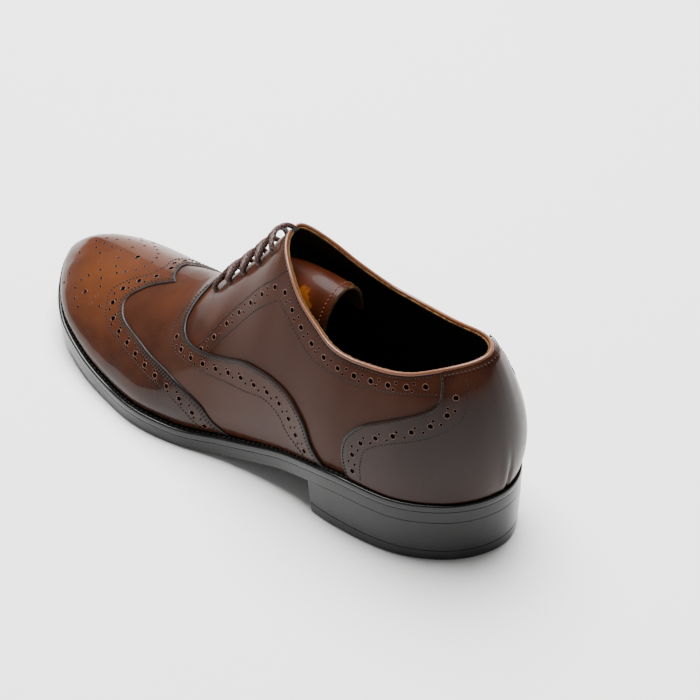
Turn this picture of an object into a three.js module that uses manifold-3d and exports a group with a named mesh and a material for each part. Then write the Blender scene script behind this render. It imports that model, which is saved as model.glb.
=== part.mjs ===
// A left brogue shoe: leather upper on a curved last, welted sole and stacked heel. Millimetres, +Z up,
// +X towards the toe, +Y towards the outer side. The origin is under the middle of the shoe, on the floor.
import * as THREE from 'three';
import Module from 'manifold-3d';

const wasm = await Module();
wasm.setup();

// Driving sizes of the sole and the last
const LENGTH = 292; // heel back to toe tip of the sole
const SOLE_WIDTH = 100; // twice the widest half of the sole at the ball
const HEEL_RISE = 25.9; // floor to the outsole's underside at the heel's back
const TOE_SPRING = 11; // floor to the outsole's underside at the toe tip
const INSTEP_HEIGHT = 122; // floor to the top of the facings
const LEDGE = 6; // widest step that the welt can show outside the upper
const BULGE = 3.2; // fullest swell of the upper's side over its foot

// Thicknesses and clearances
const OUTSOLE = 6.6;
const WELT = 3.7;
const WELT_RING = 8.7; // width of the welt ring
const INSOLE_INSET = 9; // insole's edge inside the sole's edge
const INSOLE_PROUD = 2.7; // insole's top over the welt's top
const TOP_PIECE = 6; // rubber piece under the heel
const HEEL_BREAST = 86.5; // front face of the heel from the heel's back
const HEEL_TAPER = 1.2; // how far the heel draws in at the floor
const WALL = 2.2; // leather and lining of the upper
const WALL_DEPTH = 0.6; // upper's outer face under the last's own outline
const OVERLAY = 1.2; // leather of the vamp and the heel counter
const CAP = 1.4; // leather of the wing cap, a little proud of the vamp
const GAP = 0.3; // clearance between two pieces that meet
const FOOT_GAP = 0.5; // clearance of the upper over the welt, whose facets are not the upper's
const SEAM_GAP = 0.35; // clearance between two overlays side by side
const BINDING_WIDTH = 4;
const BINDING_HEIGHT = 3.2;
const TONGUE = 2;
const TONGUE_WIDTH = 48;
const LACE = 2.4; // diameter
const LACE_LIFT = 0.5; // lace clear of the facing under it
const LACE_ARCH = 2.2; // further rise of a lace where it crosses the middle
const EYELET = 3.8; // hole diameter
const EYELET_INSET = 10.5; // eyelet's middle from the middle line of the instep
const FACING_GAP_TOP = 3.5; // half of the gap between the facings at the collar
const FACING_GAP_LOW = 1.2; // and at the throat
const EYELET_ROWS = 5;

// Places along the length, as shares of it
const FACING_TOP = 0.445;
const EYELET_LOW = 0.6;
const EYELET_HIGH = 0.462;
// Places counted in rows of the sections table
const THROAT = 7.8; // where the two facings close

function table(names, rows) {
  return rows.map((row) => Object.fromEntries(names.map((name, i) => [name, row[i]])));
}

// Sections of the last from heel back to toe tip. Along and crestAlong are shares of the length, lateral,
// medial and crestAcross of the sole's width, ledge of LEDGE and both bulges of BULGE. The side and top
// columns are the exponents of the section's curve: 2 is an ellipse and more is fuller.
const SECTIONS = table(
  ['along', 'lateral', 'medial', 'crestAlong', 'crestAcross', 'ledge',
    'sideLateral', 'sideMedial', 'top', 'bulgeLateral', 'bulgeMedial'],
  [
    [0, 0, 0, 0.15, 0, 0.35, 2.9, 2.9, 1.8, 0.95, 0.95],
    [0.018, 0.168, 0.158, 0.155, 0, 0.35, 2.9, 2.6, 1.8, 0.75, 1.2],
    [0.065, 0.311, 0.273, 0.17, 0, 0.37, 2.9, 2.4, 1.8, 0.3, 1.25],
    [0.14, 0.412, 0.33, 0.2, 0, 0.4, 2.9, 2.3, 1.79, 0.05, 1.2],
    [0.25, 0.44, 0.326, 0.27, -0.01, 0.45, 2.5, 2.7, 1.75, 0.2, 0.95],
    [0.37, 0.405, 0.259, 0.37, -0.02, 0.55, 2.05, 3.1, 1.7, 0.4, 0.65],
    [0.48, 0.426, 0.235, 0.47, -0.04, 0.68, 1.7, 3.3, 1.65, 0.7, 0.4],
    [0.58, 0.493, 0.297, 0.56, -0.05, 0.79, 1.85, 2.8, 1.54, 0.95, 0.25],
    [0.66, 0.51, 0.383, 0.635, -0.06, 0.79, 2.08, 2.3, 1.44, 0.97, 0.2],
    [0.74, 0.467, 0.445, 0.708, -0.07, 0.79, 2.18, 2.12, 1.43, 0.97, 0.2],
    [0.82, 0.398, 0.46, 0.777, -0.08, 0.79, 2.28, 2.12, 1.43, 0.97, 0.2],
    [0.9, 0.282, 0.412, 0.835, -0.085, 0.79, 2.38, 2.2, 1.43, 1, 0.25],
    [0.965, 0.091, 0.297, 0.873, -0.09, 0.79, 2.38, 2.22, 1.43, 1, 0.4],
    [1, -0.11, 0.11, 0.892, -0.09, 0.79, 2.38, 2.38, 1.43, 0.8, 0.8],
  ],
);
// Underside of the outsole: heel as a share of HEEL_RISE, spring of TOE_SPRING
const SOLE_PROFILE = table(['along', 'heel', 'spring'], [
  [0, 1, 0], [0.12, 0.96, 0], [0.25, 0.92, 0], [0.35, 0.6, 0], [0.45, 0.24, 0], [0.55, 0.02, 0],
  [0.64, 0, 0], [0.72, 0, 0], [0.8, 0, 0.22], [0.9, 0, 0.66], [1, 0, 1],
]);
// Height of the last's middle line over the floor, as a share of INSTEP_HEIGHT. Behind the facings it only
// shapes how the sides lean in to the collar.
const CREST = table(['along', 'height'], [
  [0, 1.16], [0.1, 0.99], [0.2, 0.95], [0.3, 1.03], [0.37, 1.085], [0.41, 1.055], [0.445, 1.005],
  [0.5, 0.834], [0.54, 0.715], [0.587, 0.585], [0.64, 0.475], [0.7, 0.425], [0.76, 0.388],
  [0.82, 0.36], [0.88, 0.343], [0.94, 0.333], [1, 0.305],
]);
// Height of the collar's top over the floor, as a share of INSTEP_HEIGHT
const COLLAR = table(['along', 'height'], [
  [0, 0.935], [0.07, 0.893], [0.137, 0.835], [0.205, 0.804], [0.245, 0.796], [0.285, 0.805],
  [0.325, 0.843], [0.36, 0.885], [0.395, 0.938], [0.445, 1],
]);
// Seams on one side: rise is the share of the way up the section, station the place counted in rows of
// the sections table. The other side mirrors them.
const CAP_EDGE = table(['rise', 'station'], [
  [0, 5.95], [0.08, 6.2], [0.2, 6.5], [0.31, 7], [0.43, 7.8], [0.5, 8.55], [0.545, 9.15], [0.61, 9.5],
  [0.68, 9.65], [0.77, 9.55], [0.86, 9.15], [0.92, 8.9], [1, 8.6],
]);
const VAMP_EDGE = table(['rise', 'station'], [
  [0, 4.15], [0.08, 4.35], [0.2, 4.6], [0.25, 4.85], [0.29, 5.2], [0.32, 5.55], [0.37, 6.1],
  [0.44, 6.65], [0.505, 7.05], [0.59, 7.4], [0.67, 7.6], [0.78, 7.75], [0.9, 7.85], [1, 7.95],
]);
const COUNTER_EDGE = table(['rise', 'station'], [
  [0, 3.7], [0.05, 3.75], [0.14, 3.8], [0.24, 3.7], [0.33, 3.35], [0.39, 2.85], [0.44, 2.1],
  [0.52, 1.85], [0.62, 1.85], [0.85, 1.85],
]);
// The tongue: height is its crest's share of INSTEP_HEIGHT, outer and inner its two sides as shares of
// TONGUE_WIDTH and drop, from crest to side edge, a share of TONGUE_WIDTH
const TONGUE_SECTIONS = table(['along', 'height', 'across', 'outer', 'inner', 'drop'], [
  [0.68, 0.402, -0.062, 0.5, 0.44, 0.22], [0.635, 0.441, -0.06, 0.48, 0.38, 0.25],
  [0.587, 0.535, -0.055, 0.46, 0.27, 0.29], [0.54, 0.66, -0.05, 0.44, 0.2, 0.3],
  [0.5, 0.765, -0.04, 0.42, 0.17, 0.3], [0.47, 0.815, -0.035, 0.4, 0.17, 0.32],
  [0.44, 0.84, -0.03, 0.38, 0.19, 0.35], [0.395, 0.856, -0.015, 0.36, 0.24, 0.4],
  [0.332, 0.852, 0, 0.34, 0.3, 0.45],
]);

// Smoothness of the faceted forms
const RISE_STEPS = 9;
const TONGUE_STEPS = 10;
const CORD_SIDES = 8;
const LACE_SIDES = 6;
const LACE_DETAIL = 0.02; // smaller steps than this are smoothed away
const SEAM_STEPS = 20;

// Value of a table's column at a place between its rows, on a smooth curve through them
function smooth(rows, key, column, at) {
  const x = rows.map((row) => row[key]);
  const y = rows.map((row) => row[column]);
  const last = rows.length - 1;
  const rate = x.slice(1).map((value, i) => (y[i + 1] - y[i]) / (value - x[i]));
  const slope = (i) => {
    if (i === 0) return rate[0];
    if (i === last) return rate[last - 1];
    const before = x[i] - x[i - 1];
    const after = x[i + 1] - x[i];
    return (rate[i - 1] * after + rate[i] * before) / (before + after);
  };
  if (at <= x[0]) return y[0] + (at - x[0]) * slope(0);
  if (at >= x[last]) return y[last] + (at - x[last]) * slope(last);
  const i = x.findIndex((value, k) => k < last && at < x[k + 1]);
  const span = x[i + 1] - x[i];
  const f = (at - x[i]) / span;
  const g = 1 - f;
  return y[i] * (1 + 2 * f) * g * g + y[i + 1] * (3 - 2 * f) * f * f
    + span * f * g * (slope(i) * g - slope(i + 1) * f);
}

// The sections run round the sole as one loop of stations: the outer side to the toe, the inner side back
const TOE = SECTIONS.length - 1;
const STATIONS = 2 * TOE;
const outer = SECTIONS.map((s) => [s.along * LENGTH, s.lateral * SOLE_WIDTH, s.crestAlong * LENGTH,
  s.crestAcross * SOLE_WIDTH, s.ledge * LEDGE, s.sideLateral, s.top, s.bulgeLateral * BULGE]);
const inner = SECTIONS.slice(1, TOE).reverse().map((s) => [s.along * LENGTH, -s.medial * SOLE_WIDTH,
  s.crestAlong * LENGTH, s.crestAcross * SOLE_WIDTH, s.ledge * LEDGE, s.sideMedial, s.top,
  s.bulgeMedial * BULGE]);
const LOOP = [...outer, ...inner];

function onLoop(station) {
  const start = Math.floor(station);
  const f = station - start;
  const [a, b, c, d] = [-1, 0, 1, 2].map((k) => LOOP[(start + k + STATIONS * 2) % STATIONS]);
  return b.map((value, k) => 0.5 * (2 * value + (c[k] - a[k]) * f
    + (2 * a[k] - 5 * value + 4 * c[k] - d[k]) * f * f + (3 * (value - c[k]) + d[k] - a[k]) * f ** 3));
}

// Plan of the sole's edge, moved inwards by a distance
function edgePoint(station, inset = 0) {
  const small = 0.001;
  const [x, y] = onLoop(station);
  const [x1, y1] = onLoop(station + small);
  const [x0, y0] = onLoop(station - small);
  const along = Math.hypot(x1 - x0, y1 - y0);
  const inward = [(y1 - y0) / along, (x0 - x1) / along];
  return { x: x + inward[0] * inset, y: y + inward[1] * inset, inward };
}

function soleBottom(x) {
  const heel = HEEL_RISE * smooth(SOLE_PROFILE, 'along', 'heel', x / LENGTH);
  return Math.max(0, heel + TOE_SPRING * smooth(SOLE_PROFILE, 'along', 'spring', x / LENGTH));
}
const outsoleTop = (x) => soleBottom(x) + OUTSOLE;
const weltTop = (x) => outsoleTop(x) + GAP + WELT;
const crestHeight = (x) => INSTEP_HEIGHT * smooth(CREST, 'along', 'height', x / LENGTH);
const crestAcross = (x) => SOLE_WIDTH * smooth(SECTIONS, 'crestAlong', 'crestAcross', x / LENGTH);
const collarHeight = (x) => INSTEP_HEIGHT * smooth(COLLAR, 'along', 'height', x / LENGTH);

// A point of the last's surface: rise runs from 0 at the welt to 1 on the middle line
function lastPoint(station, rise) {
  const [, , crestX, crestY, ledge, side, top, bulge] = onLoop(station);
  const foot = edgePoint(station, ledge);
  const angle = Math.PI / 2 * Math.min(rise, 1);
  const near = Math.max(Math.cos(angle), 0) ** (2 / side);
  const up = Math.sin(angle) ** (2 / top);
  const swell = bulge * up * (1 - up) ** 3 / (0.25 * 0.75 ** 3);
  const x = crestX + (foot.x - crestX) * near - foot.inward[0] * swell;
  const y = crestY + (foot.y - crestY) * near - foot.inward[1] * swell;
  const base = weltTop(foot.x) + FOOT_GAP;
  return new THREE.Vector3(x, y, base + (crestHeight(x) - base) * up);
}

function lastNormal(station, rise) {
  const small = 0.004;
  if (rise > 1 - small) {
    const { x } = lastPoint(station, 1);
    return new THREE.Vector3(crestHeight(x - 1) - crestHeight(x + 1), 0, 2).normalize();
  }
  const low = Math.max(rise - small, 0);
  const up = lastPoint(station, rise + small).sub(lastPoint(station, low));
  const along = lastPoint(station + small, rise).sub(lastPoint(station - small, rise));
  return up.cross(along).normalize();
}

// A point at a distance out of the last's surface
function lastOffset(station, rise, out) {
  return lastPoint(station, rise).addScaledVector(lastNormal(station, rise), out);
}

// Closed solid from a list of faces, each a list of points in order, seen from outside. Points in one
// cell of a fine grid are one corner; the grid is shifted so that round numbers lie inside a cell.
const CELL = 1e-4;
const CELL_SHIFT = 0.37;

function solid(faces) {
  const points = [];
  const index = new Map();
  const number = (p) => {
    const key = p.toArray().map((value) => Math.floor(value / CELL + CELL_SHIFT)).join();
    if (!index.has(key)) index.set(key, points.push(p.x, p.y, p.z) / 3 - 1);
    return index.get(key);
  };
  const triangles = [];
  for (const face of faces) {
    const corners = face.map(number).filter((value, i, list) => value !== list[(i + 1) % list.length]);
    for (let i = 2; i < corners.length; i += 1) triangles.push(corners[0], corners[i - 1], corners[i]);
  }
  return new wasm.Manifold(new wasm.Mesh({
    numProp: 3,
    vertProperties: new Float32Array(points),
    triVerts: new Uint32Array(triangles),
  }));
}

// Quads between rows of points; a closed row joins its last point to its first
function sheet(rows, closed = false) {
  const faces = [];
  for (let r = 1; r < rows.length; r += 1) {
    const count = rows[r].length;
    for (let i = 0; i < (closed ? count : count - 1); i += 1) {
      const j = (i + 1) % count;
      faces.push([rows[r - 1][i], rows[r - 1][j], rows[r][j], rows[r][i]]);
    }
  }
  return faces;
}
// The same faces seen from the other side, split along the same diagonals
const turned = (faces) => faces.map(([first, ...rest]) => [first, ...rest.reverse()]);

// Solid between two sheets of the same layout, its edges closed. A folded sheet's last row is joined to
// itself and has no edge.
function thick(front, back, folded = false) {
  const edges = (pick) => sheet([pick(back), pick(front)]);
  const first = (rows) => rows[0];
  const last = (rows) => rows[rows.length - 1];
  return solid([
    ...sheet(front), ...turned(sheet(back)),
    ...edges(first), ...(folded ? [] : turned(edges(last))),
    ...turned(edges((rows) => rows.map(first))), ...edges((rows) => rows.map(last)),
  ]);
}

// Layers of the sole
const EDGE_STATIONS = Array.from({ length: STATIONS * 6 }, (_, i) => i / 6)
  .filter((station, i) => i % 2 === 0 || Math.abs(station - TOE) < 2);

// Flat or curved plate inside a closed outline: rungs join each outer point to its inner mirror
function plate(stations, inset, top, bottom) {
  const half = stations.length / 2;
  const at = (station, height, draw) => {
    const p = edgePoint(station, draw);
    return new THREE.Vector3(p.x, p.y, height(p.x));
  };
  const upper = stations.map((station) => at(station, top, inset));
  const lower = stations.map((station) => at(station, bottom, inset));
  const rungs = (loop) => Array.from({ length: half }, (_, i) => {
    const j = loop.length - 1 - i;
    return [loop[i], loop[i + 1], loop[j], loop[(j + 1) % loop.length]];
  });
  return solid([...sheet([upper, lower], true), ...turned(rungs(upper)), ...rungs(lower)]);
}

function weltRing() {
  const row = (inset, height) => EDGE_STATIONS.map((station) => {
    const p = edgePoint(station, inset);
    return new THREE.Vector3(p.x, p.y, height(p.x));
  });
  const under = (x) => outsoleTop(x) + GAP;
  const rows = [row(0, under), row(0, weltTop), row(WELT_RING, weltTop), row(WELT_RING, under)];
  return solid(turned(sheet([...rows, rows[0]], true)));
}

// The heel stands inside the sole's edge from the back to its breast, drawn in towards the floor
function heelSlab(top, bottom) {
  const range = SECTIONS.findIndex((s) => s.along * LENGTH > HEEL_BREAST);
  let reach = range;
  while (edgePoint(reach).x > HEEL_BREAST) reach -= 0.01;
  const steps = 36;
  const loop = (height) => Array.from({ length: steps + 1 }, (_, i) => {
    const p = edgePoint(reach - 2 * reach * i / steps);
    const share = 1 - height(p.x) / HEEL_RISE;
    const q = edgePoint(reach - 2 * reach * i / steps, HEEL_TAPER * share);
    return new THREE.Vector3(Math.min(q.x, HEEL_BREAST - HEEL_TAPER * share), q.y, height(q.x));
  });
  const upper = loop(top);
  const lower = loop(bottom);
  const rungs = (row) => Array.from({ length: steps / 2 }, (_, i) => (
    [row[i], row[i + 1], row[steps - 1 - i], row[steps - i]]));
  return solid([...sheet([lower, upper], true), ...rungs(upper), ...turned(rungs(lower))]);
}

// Place between two values where a test stops holding
const HALVINGS = 24;

function turnover(first, end, test) {
  let low = first;
  let high = end;
  for (let i = 0; i < HALVINGS; i += 1) {
    const middle = (low + high) / 2;
    if (test(middle)) low = middle;
    else high = middle;
  }
  return low;
}

// Ribs of the upper. Each ends at the collar, at the facing's edge or, in front of the throat, on the
// middle line, where the two sides meet.
const BINDING_ROOM = BINDING_HEIGHT + GAP;
const rimHeight = (x) => collarHeight(x) - BINDING_ROOM;

function facingGap(x) {
  const f = (x / LENGTH - FACING_TOP) / (EYELET_LOW - FACING_TOP);
  return FACING_GAP_TOP + (FACING_GAP_LOW - FACING_GAP_TOP) * Math.min(Math.max(f, 0), 1);
}
const side = (station) => (station > TOE ? STATIONS - station : station);
const closedRib = (station) => side(station) >= THROAT;
const overCollar = (p) => p.z > rimHeight(p.x);
const overFacing = (p) => p.x > HEEL_BREAST && Math.abs(p.y - crestAcross(p.x)) < facingGap(p.x);

// Lowest rise on a rib where a test holds, or 1
function firstRise(station, test) {
  const step = 0.01;
  let rise = 0.2;
  while (rise < 1 && !test(lastPoint(station, rise))) rise += step;
  if (rise >= 1) return 1;
  return turnover(rise - step, rise, (value) => !test(lastPoint(station, value)));
}

function ribTop(station) {
  if (closedRib(station)) return 1;
  return firstRise(station, (p) => overCollar(p) || overFacing(p));
}

// The station whose rib ends in the corner between collar and facing
const BACK_OF_FACING = 4.5; // a station surely behind that corner

function cornerStation(inside) {
  const at = (value) => (inside ? STATIONS - value : value);
  return turnover(BACK_OF_FACING, THROAT, (station) => (
    firstRise(at(station), overCollar) < firstRise(at(station), overFacing)));
}
const CORNERS = [cornerStation(false), cornerStation(true)];

// Half a row apart, closer round the toe, with the corner's own rib and two at the throat
const TOE_RIBS = [12.4, 12.7, TOE];
const THROAT_RIBS = [7.4, THROAT - 0.1, THROAT, 8.2];

function ribStations(corner) {
  const even = Array.from({ length: 2 * TOE - 1 }, (_, i) => i / 2);
  const special = [corner, ...THROAT_RIBS, ...TOE_RIBS];
  const clear = even.filter((station) => special.every((other) => Math.abs(station - other) > 0.25));
  return [...clear, ...special].sort((a, b) => a - b);
}
const RIBS = [...ribStations(CORNERS[0]),
  ...ribStations(CORNERS[1]).slice(1, -1).reverse().map((station) => STATIONS - station)];

// Hollow shell of the upper between two distances out of the last's surface
function shell(inside, outside) {
  const grid = (out) => RIBS.map((station) => {
    const top = ribTop(station);
    return Array.from({ length: RISE_STEPS + 1 }, (_, j) => {
      const p = lastOffset(station, top * j / RISE_STEPS, out);
      return p.setZ(Math.max(p.z, weltTop(p.x) + FOOT_GAP));
    });
  });
  const ring = (rows) => [...rows, rows[0]];
  const front = grid(outside);
  const back = grid(inside);
  const foot = (rows) => ring(rows.map((row) => row[0]));
  const rim = RIBS.flatMap((station, i) => {
    const next = (i + 1) % RIBS.length;
    if (closedRib(station) && closedRib(RIBS[next])) return [];
    return [[front[i][RISE_STEPS], front[next][RISE_STEPS], back[next][RISE_STEPS], back[i][RISE_STEPS]]];
  });
  return solid([...sheet(ring(front)), ...turned(sheet(ring(back))),
    ...sheet([foot(front), foot(back)]), ...turned(rim)]);
}

// How far a seam moves along the stations so that it moves sideways by a distance
function seamStation(seam, rise, move) {
  const small = 0.01;
  const station = smooth(seam, 'rise', 'station', rise);
  if (move === 0) return station;
  const low = Math.max(rise - small, 0);
  const high = Math.min(rise + small, 1);
  const run = lastPoint(smooth(seam, 'rise', 'station', high), high)
    .sub(lastPoint(smooth(seam, 'rise', 'station', low), low)).normalize();
  const along = lastPoint(station + small, rise).sub(lastPoint(station - small, rise));
  const across = along.clone().cross(run).length() / (2 * small);
  return station + move / Math.max(across, 0.15 * along.length() / (2 * small));
}

// Thick patch that cuts an overlay out of a shell: it reaches well past both faces, below the foot and,
// where it has a top, past the rim
const CUT_DEPTH = 2.5;
const CUT_HEIGHT = 4;
const CUT_FOOT = 6;

function patch(rows, folded = false) {
  const layer = (out) => {
    const made = rows.map((row) => row.map(([station, rise]) => lastOffset(station, rise, out)));
    const drop = (row) => row.map((p) => p.clone().setZ(p.z - CUT_FOOT));
    const low = [drop(made[0]), ...made];
    const both = rows[rows.length - 1].every(([, rise]) => rise === 0);
    return both ? [...low, drop(made[made.length - 1])] : low;
  };
  return thick(layer(CUT_HEIGHT), layer(-CUT_DEPTH - WALL_DEPTH), folded);
}
const rises = (top) => Array.from({ length: SEAM_STEPS + 1 }, (_, i) => top * i / SEAM_STEPS);

function vampPatch() {
  const steps = 8;
  const row = (rise, mirrored) => {
    const from = seamStation(VAMP_EDGE, rise, 0);
    const to = seamStation(CAP_EDGE, rise, CUT_HEIGHT);
    return Array.from({ length: steps + 1 }, (_, i) => {
      const station = from + (to - from) * i / steps;
      return [mirrored ? STATIONS - station : station, rise];
    });
  };
  const up = rises(1);
  return patch([...up.map((rise) => row(rise, true)),
    ...up.slice(0, -1).reverse().map((rise) => row(rise, false))]);
}

function capPatch(move) {
  const steps = 24;
  return patch(rises(1).map((rise) => {
    const from = seamStation(CAP_EDGE, rise, move);
    const run = STATIONS - 2 * from;
    return Array.from({ length: steps + 1 }, (_, i) => [STATIONS - from - run * i / steps, rise]);
  }), true);
}

function counterPatch() {
  const steps = 12;
  return patch(rises(COUNTER_EDGE[COUNTER_EDGE.length - 1].rise).map((rise) => {
    const reach = seamStation(COUNTER_EDGE, rise, 0);
    return Array.from({ length: steps + 1 }, (_, i) => [reach - 2 * reach * i / steps, rise]);
  }));
}

function overlay(thickness, cutter) {
  const inside = GAP - WALL_DEPTH;
  return shell(inside, inside + thickness).intersect(cutter);
}

// Solid through closed rings of points, its two ends flat
function sweep(rings) {
  return solid([...sheet(rings, true), [...rings[0]].reverse(), rings[rings.length - 1]]);
}

// Round cord or drill along a list of points
function tube(points, radius, sides) {
  const rings = points.map((p, i) => {
    const before = points[Math.max(i - 1, 0)];
    const after = points[Math.min(i + 1, points.length - 1)];
    const run = after.clone().sub(before).normalize();
    const right = new THREE.Vector3(0, 0, 1).cross(run);
    if (right.length() < 0.1) right.set(0, 1, 0).cross(run);
    right.normalize();
    const up = run.clone().cross(right);
    return Array.from({ length: sides }, (_, k) => {
      const angle = 2 * Math.PI * (k + 0.5) / sides;
      return p.clone().addScaledVector(right, radius * Math.cos(angle))
        .addScaledVector(up, radius * Math.sin(angle));
    });
  });
  return sweep(rings);
}

// Station and rise of the last's point at a place along and at a distance from the middle line
function overInstep(x, across, inside) {
  const at = (value) => (inside ? STATIONS - value : value);
  const riseAt = (station) => firstRise(station, (p) => Math.abs(p.y - crestAcross(p.x)) < across);
  const station = turnover(TOE / 4, TOE - 2, (value) => lastPoint(at(value), riseAt(at(value))).x < x);
  return [station, riseAt(at(station))];
}

// Eyelets: evenly spaced along each facing, at one distance from the middle line
function eyeletPlace(row, inside) {
  const x = LENGTH * (EYELET_LOW + (EYELET_HIGH - EYELET_LOW) * row / (EYELET_ROWS - 1));
  return overInstep(x, EYELET_INSET, inside);
}
const ROWS = Array.from({ length: EYELET_ROWS }, (_, row) => row);
const EYELETS = [false, true].map((inside) => ROWS.map((row) => eyeletPlace(row, inside)));

function upper() {
  const reach = WALL + WALL_DEPTH + CUT_DEPTH;
  let wall = shell(-WALL_DEPTH - WALL, -WALL_DEPTH);
  EYELETS.forEach((places, inside) => places.forEach(([station, rise]) => {
    const at = inside ? STATIONS - station : station;
    const ends = [lastOffset(at, rise, -reach), lastOffset(at, rise, CUT_DEPTH)];
    wall = wall.subtract(tube(ends, EYELET / 2, CORD_SIDES));
  }));
  return wall;
}

// Rolled bead over the rim, from one facing corner round the heel to the other
function binding() {
  const [outerCorner, innerCorner] = CORNERS;
  const middle = -WALL_DEPTH - WALL / 2;
  const signed = RIBS.map((station) => (station > TOE ? station - STATIONS : station));
  const slack = 0.01;
  const stations = signed.sort((a, b) => a - b)
    .filter((value) => value > -innerCorner - slack && value < outerCorner + slack);
  const rows = stations.map((value) => {
    const station = (value + STATIONS) % STATIONS;
    const rise = firstRise(station, overCollar);
    const out = lastNormal(station, rise);
    const up = lastPoint(station, rise + 0.01).sub(lastPoint(station, rise - 0.01)).normalize();
    const centre = lastOffset(station, rise, middle).addScaledVector(up, GAP + BINDING_HEIGHT / 2);
    return Array.from({ length: CORD_SIDES }, (_, k) => {
      const angle = 2 * Math.PI * k / CORD_SIDES;
      return centre.clone().addScaledVector(out, BINDING_WIDTH / 2 * Math.cos(angle))
        .addScaledVector(up, BINDING_HEIGHT / 2 * Math.sin(angle));
    });
  });
  return sweep(rows);
}

// A point moved inwards where it would come nearer to the last's surface than a depth
function keptInside(p, depth) {
  const across = p.y - crestAcross(p.x);
  const [station, rise] = overInstep(p.x, Math.abs(across), across < 0);
  const at = across < 0 ? STATIONS - station : station;
  const normal = lastNormal(at, rise);
  const below = lastPoint(at, rise).sub(p).dot(normal);
  return below < depth ? p.addScaledVector(normal, below - depth) : p;
}

// The tongue: an arched sheet from under the vamp to its free end inside the collar
function tongue() {
  const first = TONGUE_SECTIONS[0].along;
  const end = TONGUE_SECTIONS[TONGUE_SECTIONS.length - 1].along;
  const rows = [...TONGUE_SECTIONS].reverse();
  const at = (column, along) => smooth(rows, 'along', column, along);
  const steps = 14;
  const clear = WALL_DEPTH + WALL + 2 * GAP;
  const layer = (deeper) => Array.from({ length: steps + 1 }, (_, i) => {
    const along = first + (end - first) * i / steps;
    const slope = (at('height', along + 0.01) - at('height', along - 0.01)) * INSTEP_HEIGHT / (0.02 * LENGTH);
    const tilt = Math.hypot(1, slope);
    const drop = at('drop', along) * TONGUE_WIDTH - deeper;
    return Array.from({ length: TONGUE_STEPS + 1 }, (__, j) => {
      const angle = Math.PI * (j / TONGUE_STEPS - 0.5);
      const fall = deeper + drop * (1 - Math.cos(angle));
      const half = at(angle < 0 ? 'inner' : 'outer', along) * TONGUE_WIDTH - deeper;
      return keptInside(new THREE.Vector3(
        along * LENGTH + fall * slope / tilt,
        at('across', along) * SOLE_WIDTH + half * Math.sin(angle),
        at('height', along) * INSTEP_HEIGHT - fall / tilt,
      ), clear + deeper);
    });
  });
  return thick(layer(0), layer(TONGUE));
}

// Laces: a bar across the lowest eyelets and crossings above it, joined where they cross
function strand(lowRow, highRow, outerFirst) {
  const lift = -WALL_DEPTH + LACE_LIFT + LACE / 2;
  const start = EYELETS[outerFirst ? 0 : 1][lowRow];
  const end = EYELETS[outerFirst ? 1 : 0][highRow];
  const middle = (start[0] + end[0]) / 2;
  const steps = 3;
  const arch = lowRow === highRow ? LACE_ARCH / 2 : LACE_ARCH;
  const half = ([station, rise], inside) => Array.from({ length: steps + 1 }, (_, i) => {
    const f = i / steps;
    const at = station + (middle - station) * f;
    const height = lift + arch * Math.sin(Math.PI / 2 * f);
    return lastOffset(inside ? STATIONS - at : at, rise + (1 - rise) * f, height);
  });
  const into = ([station, rise], inside) => lastOffset(inside ? STATIONS - station : station, rise,
    -WALL_DEPTH - LACE / 4);
  const points = [into(start, !outerFirst), ...half(start, !outerFirst),
    ...half(end, outerFirst).reverse().slice(1), into(end, outerFirst)];
  return tube(points, LACE / 2, LACE_SIDES);
}

// The joined strands' outer surface, so that no small hollow or sliver is left where two of them part
function laces() {
  const crossings = ROWS.slice(1).flatMap((row) => [strand(row - 1, row, true),
    strand(row - 1, row, false)]);
  const joined = crossings.reduce((all, piece) => all.add(piece), strand(0, 0, true))
    .simplify(LACE_DETAIL);
  return joined.decompose().sort((a, b) => b.volume() - a.volume())[0];
}

function leather(color, roughness = 0.35) {
  return new THREE.MeshStandardMaterial({ color, roughness, metalness: 0 });
}
const DARK_BROWN = '#4a2a20';
const COGNAC = '#7a3e22';
const TAN = '#b4713f';
const BLACK = '#141212';

const heelUnder = () => TOP_PIECE;
const floor = () => 0;
const pieces = [
  ['outsole', plate(EDGE_STATIONS, 0, outsoleTop, soleBottom), BLACK],
  ['welt', weltRing(), BLACK],
  ['insole', plate(EDGE_STATIONS, INSOLE_INSET, (x) => weltTop(x) + INSOLE_PROUD,
    (x) => outsoleTop(x) + GAP), BLACK],
  ['heel', heelSlab((x) => soleBottom(x) - GAP, () => heelUnder() + GAP), BLACK],
  ['heel_top_piece', heelSlab(heelUnder, floor), BLACK],
  ['upper', upper(), DARK_BROWN],
  ['vamp', overlay(OVERLAY, vampPatch().subtract(capPatch(-SEAM_GAP))), DARK_BROWN],
  ['wing_cap', overlay(CAP, capPatch(0)), COGNAC],
  ['heel_counter', overlay(OVERLAY, counterPatch()), COGNAC],
  ['topline_binding', binding(), TAN],
  ['tongue', tongue(), COGNAC],
  ['laces', laces(), DARK_BROWN],
];

const shoe = new THREE.Group();
for (const [name, form, color] of pieces) {
  const { vertProperties, triVerts } = form.getMesh();
  const geometry = new THREE.BufferGeometry();
  geometry.setAttribute('position', new THREE.BufferAttribute(vertProperties, 3));
  geometry.setIndex(new THREE.BufferAttribute(triVerts, 1));
  geometry.computeVertexNormals();
  const mesh = new THREE.Mesh(geometry, leather(color));
  mesh.name = name;
  shoe.add(mesh);
}
const box = new THREE.Box3().setFromObject(shoe);
const middle = box.getCenter(new THREE.Vector3());
shoe.position.set(-middle.x, -middle.y, -box.min.z);

export default shoe;
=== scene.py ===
# The looks of a left brogue shoe: leather panels over a curved last, a laced throat and a welted sole.
# The last's surface is worked out here from the same named sizes and tables as in the part's own source.
# The wing cap's seam is the exception: it follows the photograph more closely than the part's does.
import functools
import math

import bpy
import numpy as np
from mathutils import Matrix, Vector
from mathutils.kdtree import KDTree


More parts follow.
